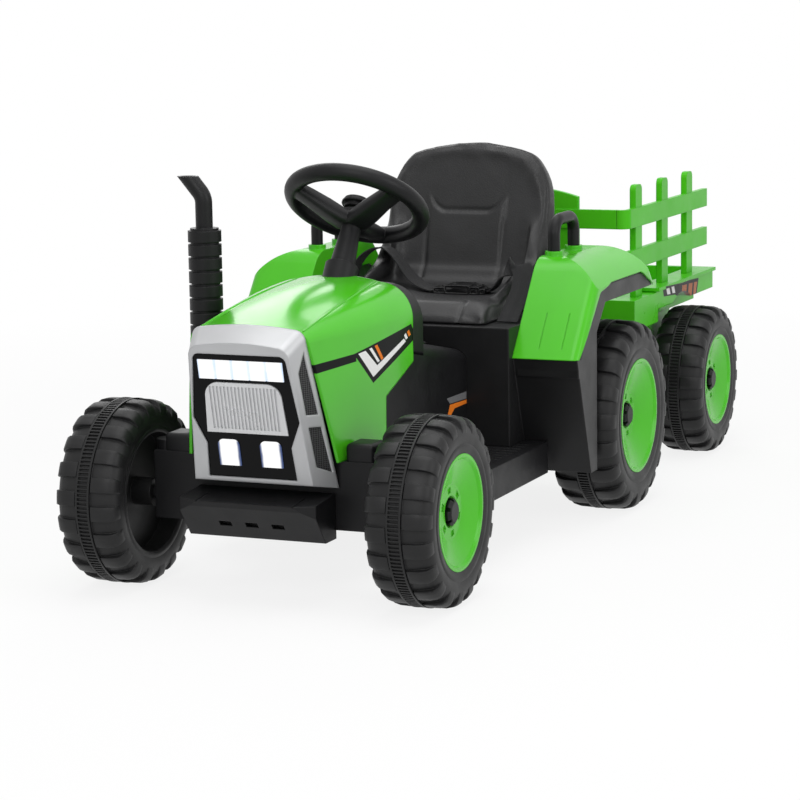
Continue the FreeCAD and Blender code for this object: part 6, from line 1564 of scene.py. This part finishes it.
@dataclass
class LapBelt:
    """Two straps of webbing from their anchors over the bolsters to the buckle, sizes in mm."""

    width: float = 28.0
    thick: float = 1.5
    columns: int = 4
    steps: int = 6
    turn_at: float = 0.62
    turn_half: float = 0.16
    chart_start: float = 0.1
    right_line: tuple[Place, ...] = (
        (34.0, -133.0, 277.0), (22.0, -133.5, 305.0), (10.0, -133.0, 331.0), (-10.0, -121.5, 348.0),
        (-24.0, -105.0, 353.0), (-20.0, -91.0, 346.0), (-12.0, -77.0, 335.0), (0.0, -60.5, 322.0),
        (15.0, -44.0, 313.0), (40.0, -19.0, 307.0), (54.0, 0.0, 305.0), (58.0, 8.0, 305.0),
    )
    left_line: tuple[Place, ...] = (
        (140.0, 137.0, 277.0), (118.0, 137.0, 291.0), (78.0, 136.0, 316.0), (48.0, 127.0, 335.0),
        (35.0, 112.0, 341.0), (38.0, 98.0, 328.0), (47.0, 88.0, 313.0), (56.0, 80.0, 306.0),
        (58.0, 76.0, 305.0),
    )

    def route(self, line: Sequence[Place]) -> list[Vector]:
        """The strap's smooth middle line.

        Args:
            line: its corners in mm.

        Returns:
            Points from the anchor to the buckle, in metres.
        """
        path = Bench.path("strap_line", [Vector(place) * MM for place in line], self.steps)
        traced = bpy.data.meshes.new_from_object(path)
        points = [path.matrix_world @ vertex.co for vertex in traced.vertices]
        bpy.data.objects.remove(path)
        bpy.data.meshes.remove(traced)
        return points

    def strap(self, name: str, line: Sequence[Place], first: Axis) -> tuple[Piece, float]:
        """One strap, a grid laid across its line.

        Args:
            name: the piece's name.
            line: its corners in mm.
            first: the way its width lies at the anchor, before it turns to the buckle.

        Returns:
            The strap and its flat length in metres.
        """
        points = self.route(line)
        lengths = [0.0]
        for start, end in zip(points, points[1:]):
            lengths.append(lengths[-1] + (end - start).length)
        Bench.clear()
        bpy.ops.mesh.primitive_grid_add(x_subdivisions=self.columns, y_subdivisions=len(points) - 1, size=1.0)
        strap = Bench.added(name)
        across_count = self.columns + 1
        offsets = [(column / self.columns - 0.5) * self.width * MM for column in range(across_count)]
        for vertex in strap.data.vertices:
            row, column = divmod(vertex.index, across_count)
            course = (points[min(row + 1, len(points) - 1)] - points[max(row - 1, 0)]).normalized()
            turned = soft_step(row / (len(points) - 1) - self.turn_at, self.turn_half)
            lie = first.vector.lerp(Axis.LENGTH.vector, turned)
            across = (lie - course * lie.dot(course)).normalized()
            vertex.co = points[row] + across * offsets[column]
        chart = strap.data.uv_layers.new(name="strap")
        for corner in strap.data.loops:
            row, column = divmod(corner.vertex_index, across_count)
            chart.data[corner.index].uv = (offsets[column] + self.chart_start, lengths[row])
        Bench.change(strap, "SOLIDIFY", thickness=self.thick * MM, offset=0.0)
        Bench.mend(strap)
        Bench.smooth(strap, FLOWING_EDGE)
        return strap, lengths[-1]

    def build(self) -> None:
        """Builds both straps in place of their node."""
        for name, line, first in (("right_strap", self.right_line, Axis.LENGTH),
                                  ("left_strap", self.left_line, Axis.WIDTH)):
            strap, length = self.strap(name, line, first)
            Bench.settle(strap, "tractor", Coat.WEBBING, "webbing")
            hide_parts("seat_belt")


@dataclass
class SteeringWheel:
    """Ring, three deep spokes and a stepped horn cap on the tilted column, sizes in mm."""

    middle: Place = (304.5, 0.0, 442.0)
    tilt: float = 33.7
    ring: float = 82.0
    grip: float = 11.0
    spokes: int = 3
    squareness: float = 0.55
    spoke_corners: int = 20
    grip_corners: int = 24
    ring_steps: int = 96
    hub_steps: int = 40
    cap_steps: int = 48
    stations: tuple[tuple[float, float, float, float], ...] = (
        (2.0, 15.5, -27.0, 8.0), (16.0, 16.5, -24.0, 11.0), (34.0, 15.0, -17.5, 11.5),
        (56.0, 13.0, -9.0, 10.0), (74.0, 13.0, -3.0, 8.5), (84.0, 14.0, -0.5, 7.5),
    )
    hub: tuple[Corner, ...] = (
        (0.0, -33.6), (15.0, -33.6), (16.2, -30.0), (17.0, -22.0), (16.4, -13.5), (15.0, -11.6), (0.0, -11.6),
    )
    cap: tuple[Corner, ...] = (
        (0.0, -8.2), (15.2, -8.2), (15.6, -3.4), (18.6, -2.8), (19.2, -1.8), (19.0, 0.6), (17.6, 1.4),
        (17.6, 2.6), (16.8, 4.6), (13.0, 6.2), (7.0, 7.0), (0.0, 7.3),
    )

    def spoke(self) -> Piece:
        """One spoke along its own X axis, deep at the hub and flatter at the ring."""
        loops = []
        for along, half, level, depth in self.stations:
            loop = []
            for corner in circle(self.spoke_corners):
                wide, high = (math.copysign(abs(share) ** self.squareness, share) for share in corner)
                loop.append(Vector((along, half * wide, level + depth * high)) * MM)
            loops.append(loop)
        return Bench.loft("spoke", loops)

    def build(self) -> None:
        """Builds the wheel and the horn cap."""
        stand = tilted(self.middle, self.tilt)
        grip = [(self.ring + self.grip * out, self.grip * up) for out, up in circle(self.grip_corners)]
        ring = Bench.turned("steering_grip", grip, self.ring_steps, Matrix.Identity(4))
        hub = Bench.turned("steering_hub", self.hub, self.hub_steps, Matrix.Identity(4))
        arm = self.spoke()
        arm.data.transform(Matrix.Rotation(math.pi, 4, "Z"))
        Bench.repeat(arm, Vector(), Axis.HEIGHT.vector, self.spokes)
        Bench.mend(arm)
        Bench.smooth(arm, FLOWING_EDGE)
        wheel = Bench.join("steering_wheel_dressed", [ring, hub, arm])
        wheel.data.transform(stand)
        Bench.settle(wheel, "steering", Coat.BLACK, "black_plastic")
        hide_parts("steering_wheel")
        cap = Bench.turned("horn_cap", self.cap, self.cap_steps, stand)
        Bench.settle(cap, "horn", Coat.BLACK, "black_plastic")
        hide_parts("horn_button")


@dataclass
class HoodTrim:
    """A raised bead along each upper edge of the hood, sizes in mm."""

    line: tuple[Place, ...] = (
        (372.0, 53.5, 353.0), (430.0, 58.0, 347.5), (500.0, 63.0, 340.5), (560.0, 67.5, 335.5),
        (612.0, 71.0, 331.0),
    )
    radius: float = 1.2
    steps: int = 5
    outward: Corner = (0.5, 0.86)

    def build(self) -> None:
        """Builds both beads on the hood's skin."""
        beads = []
        for side in (1.0, -1.0):
            way = Vector((0.0, self.outward[0] * side, self.outward[1])).normalized()
            corners = [Vector((x, y * side, z)) * MM for x, y, z in self.line]
            spots = [start.lerp(end, step / self.steps)
                     for start, end in zip(corners, corners[1:]) for step in range(self.steps)]
            points = [Bench.onto("hood", spot, way) for spot in [*spots, corners[-1]]]
            beads.append(Bench.bead("hood_bead", points, self.radius * MM))
        trim = Bench.join("hood_beads", beads)
        Bench.settle(trim, "tractor", Coat.GREEN, "green_plastic")


@dataclass
class AxleCaps:
    """Rounded housings over the kingpins' inner ends, beside the hood, sizes in mm."""

    low: Place = (538.0, 101.0, 164.0)
    high: Place = (577.0, 136.0, 188.0)
    rim: tuple[Corner, ...] = ((5.0, 0.0),)
    crown: float = 1.6
    edge: float = 4.0
    edge_steps: int = 4
    edge_from: float = 25.0

    def build(self) -> None:
        """Builds the left housing and its mirrored right one."""
        left = Bench.block("left_axle_cap", Vector(self.low) * MM, Vector(self.high) * MM)
        Bench.pick_faces(left, Axis.HEIGHT)
        Bench.inset(self.rim)
        bpy.ops.transform.translate(value=(0.0, 0.0, self.crown * MM))
        Bench.done()
        Bench.soften(left, self.edge * MM, self.edge_steps, self.edge_from)
        Bench.smooth(left, ROUND_EDGE)
        right = Bench.copy(left, "right_axle_cap", MIRROR)
        for item in (left, right):
            Bench.settle(item, "tractor", Coat.BLACK, "black_plastic")


@dataclass
class ButtonPad:
    """A low oval pad with a dished glossy face on the tunnel's slope, behind the hood, sizes in mm."""

    middle: Place = (268.0, 64.0, 261.0)
    slope: float = 11.1
    half_length: float = 16.0
    half_width: float = 11.0
    height: float = 4.0
    corners: int = 40
    dish: tuple[Corner, ...] = ((1.2, 1.0), (1.8, 0.0), (0.8, -1.2), (3.0, 0.5))

    def build(self) -> None:
        """Builds the oval: drawn, raised, and dished by insets."""
        ring = [Vector((self.half_length * along, self.half_width * across, 0.0)) * MM
                for along, across in circle(self.corners)]
        pad = Bench.outline("tunnel_button_pad", ring, filled=True)
        Bench.edit(pad)
        bpy.ops.mesh.extrude_region_move(TRANSFORM_OT_translate={"value": (0.0, 0.0, self.height * MM)})
        Bench.inset(self.dish)
        Bench.done()
        pad.data.transform(tilted(self.middle, self.slope))
        Bench.mend(pad)
        Bench.smooth(pad, CRISP_EDGE)
        Bench.settle(pad, "tractor", Coat.GLOSS, "black_plastic")


@dataclass(frozen=True)
class Fastening:
    """Where screws hold one moulding on its left side, in mm, and the way their heads look."""

    node: str
    body: str
    way: Place
    spots: tuple[Place, ...]


@dataclass
class Screws:
    """Cross-head screws in the mouldings, sizes in mm."""

    radius: float = 4.2
    height: float = 1.6
    corners: int = 20
    edge: float = 0.7
    slot: float = 0.9
    slot_share: float = 1.1
    slot_depth: float = 0.8
    overrun: float = 1.0
    fastenings: tuple[Fastening, ...] = (
        Fastening("rear_body", "tractor", (-1.0, 0.0, 0.0),
                  ((-178.0, 128.0, 150.0), (-178.0, 128.0, 215.0))),
        Fastening("trailer_bed", "trailer", (0.0, 0.0, -1.0),
                  ((-320.0, 120.0, 212.0), (-640.0, 120.0, 212.0))),
    )

    def head(self) -> Piece:
        """One screw head, standing on the origin along +Z."""
        Bench.clear()
        height = self.height * MM
        bpy.ops.mesh.primitive_cylinder_add(vertices=self.corners, radius=self.radius * MM, depth=height,
                                            location=(0.0, 0.0, height / 2.0))
        head = Bench.added("screw_head")
        bpy.ops.object.transform_apply(location=True, rotation=True, scale=True)
        Bench.pick_faces(head, Axis.HEIGHT)
        bpy.ops.mesh.bevel(offset=self.edge * MM, segments=2, affect="EDGES")
        Bench.done()
        length, width = self.radius * self.slot_share / 2.0, self.slot / 2.0
        for along, across in ((length, width), (width, length)):
            low = Vector((-along, -across, self.height - self.slot_depth)) * MM
            high = Vector((along, across, self.height + self.overrun)) * MM
            arm = Bench.block("screw_slot", low, high)
            Bench.change(head, "BOOLEAN", object=arm, solver="EXACT")
            bpy.data.objects.remove(arm)
        Bench.smooth(head, CRISP_EDGE)
        return head

    def build(self) -> None:
        """Sets the screws where the mouldings are fastened."""
        model = self.head()
        places = [(held, Vector((x, y * side, z)) * MM)
                  for side in (1.0, -1.0) for held in self.fastenings for x, y, z in held.spots]
        for index, (held, spot) in enumerate(places):
            way = Vector(held.way)
            turn = way.to_track_quat("Z", "Y").to_matrix().to_4x4()
            place = Bench.onto(held.node, spot, way)
            screw = Bench.copy(model, f"{held.node}_screw_{index}", Matrix.Translation(place) @ turn)
            Bench.settle(screw, held.body, Coat.STEEL, "steel")
        bpy.data.objects.remove(model)


def main() -> None:
    """Builds the studio, paints the nodes and makes each piece."""
    logging.basicConfig(level=logging.INFO, format="%(name)s %(message)s")
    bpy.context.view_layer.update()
    makers = (
        Studio(), Dressing(),
        Tyre("front", radius=112.5, width=82.0, rim=68.6, bore=5.05),
        Tyre("rear", radius=129.0, width=93.0, rim=77.3, bore=6.05),
        Tyre("trailer", radius=111.0, width=80.0, rim=68.0, bore=5.05),
        SeatPad(), Buckle(), LapBelt(), SteeringWheel(), HoodTrim(), AxleCaps(), ButtonPad(), Screws(),
    )
    for maker in makers:
        maker.build()


if __name__ == "__main__":
    main()
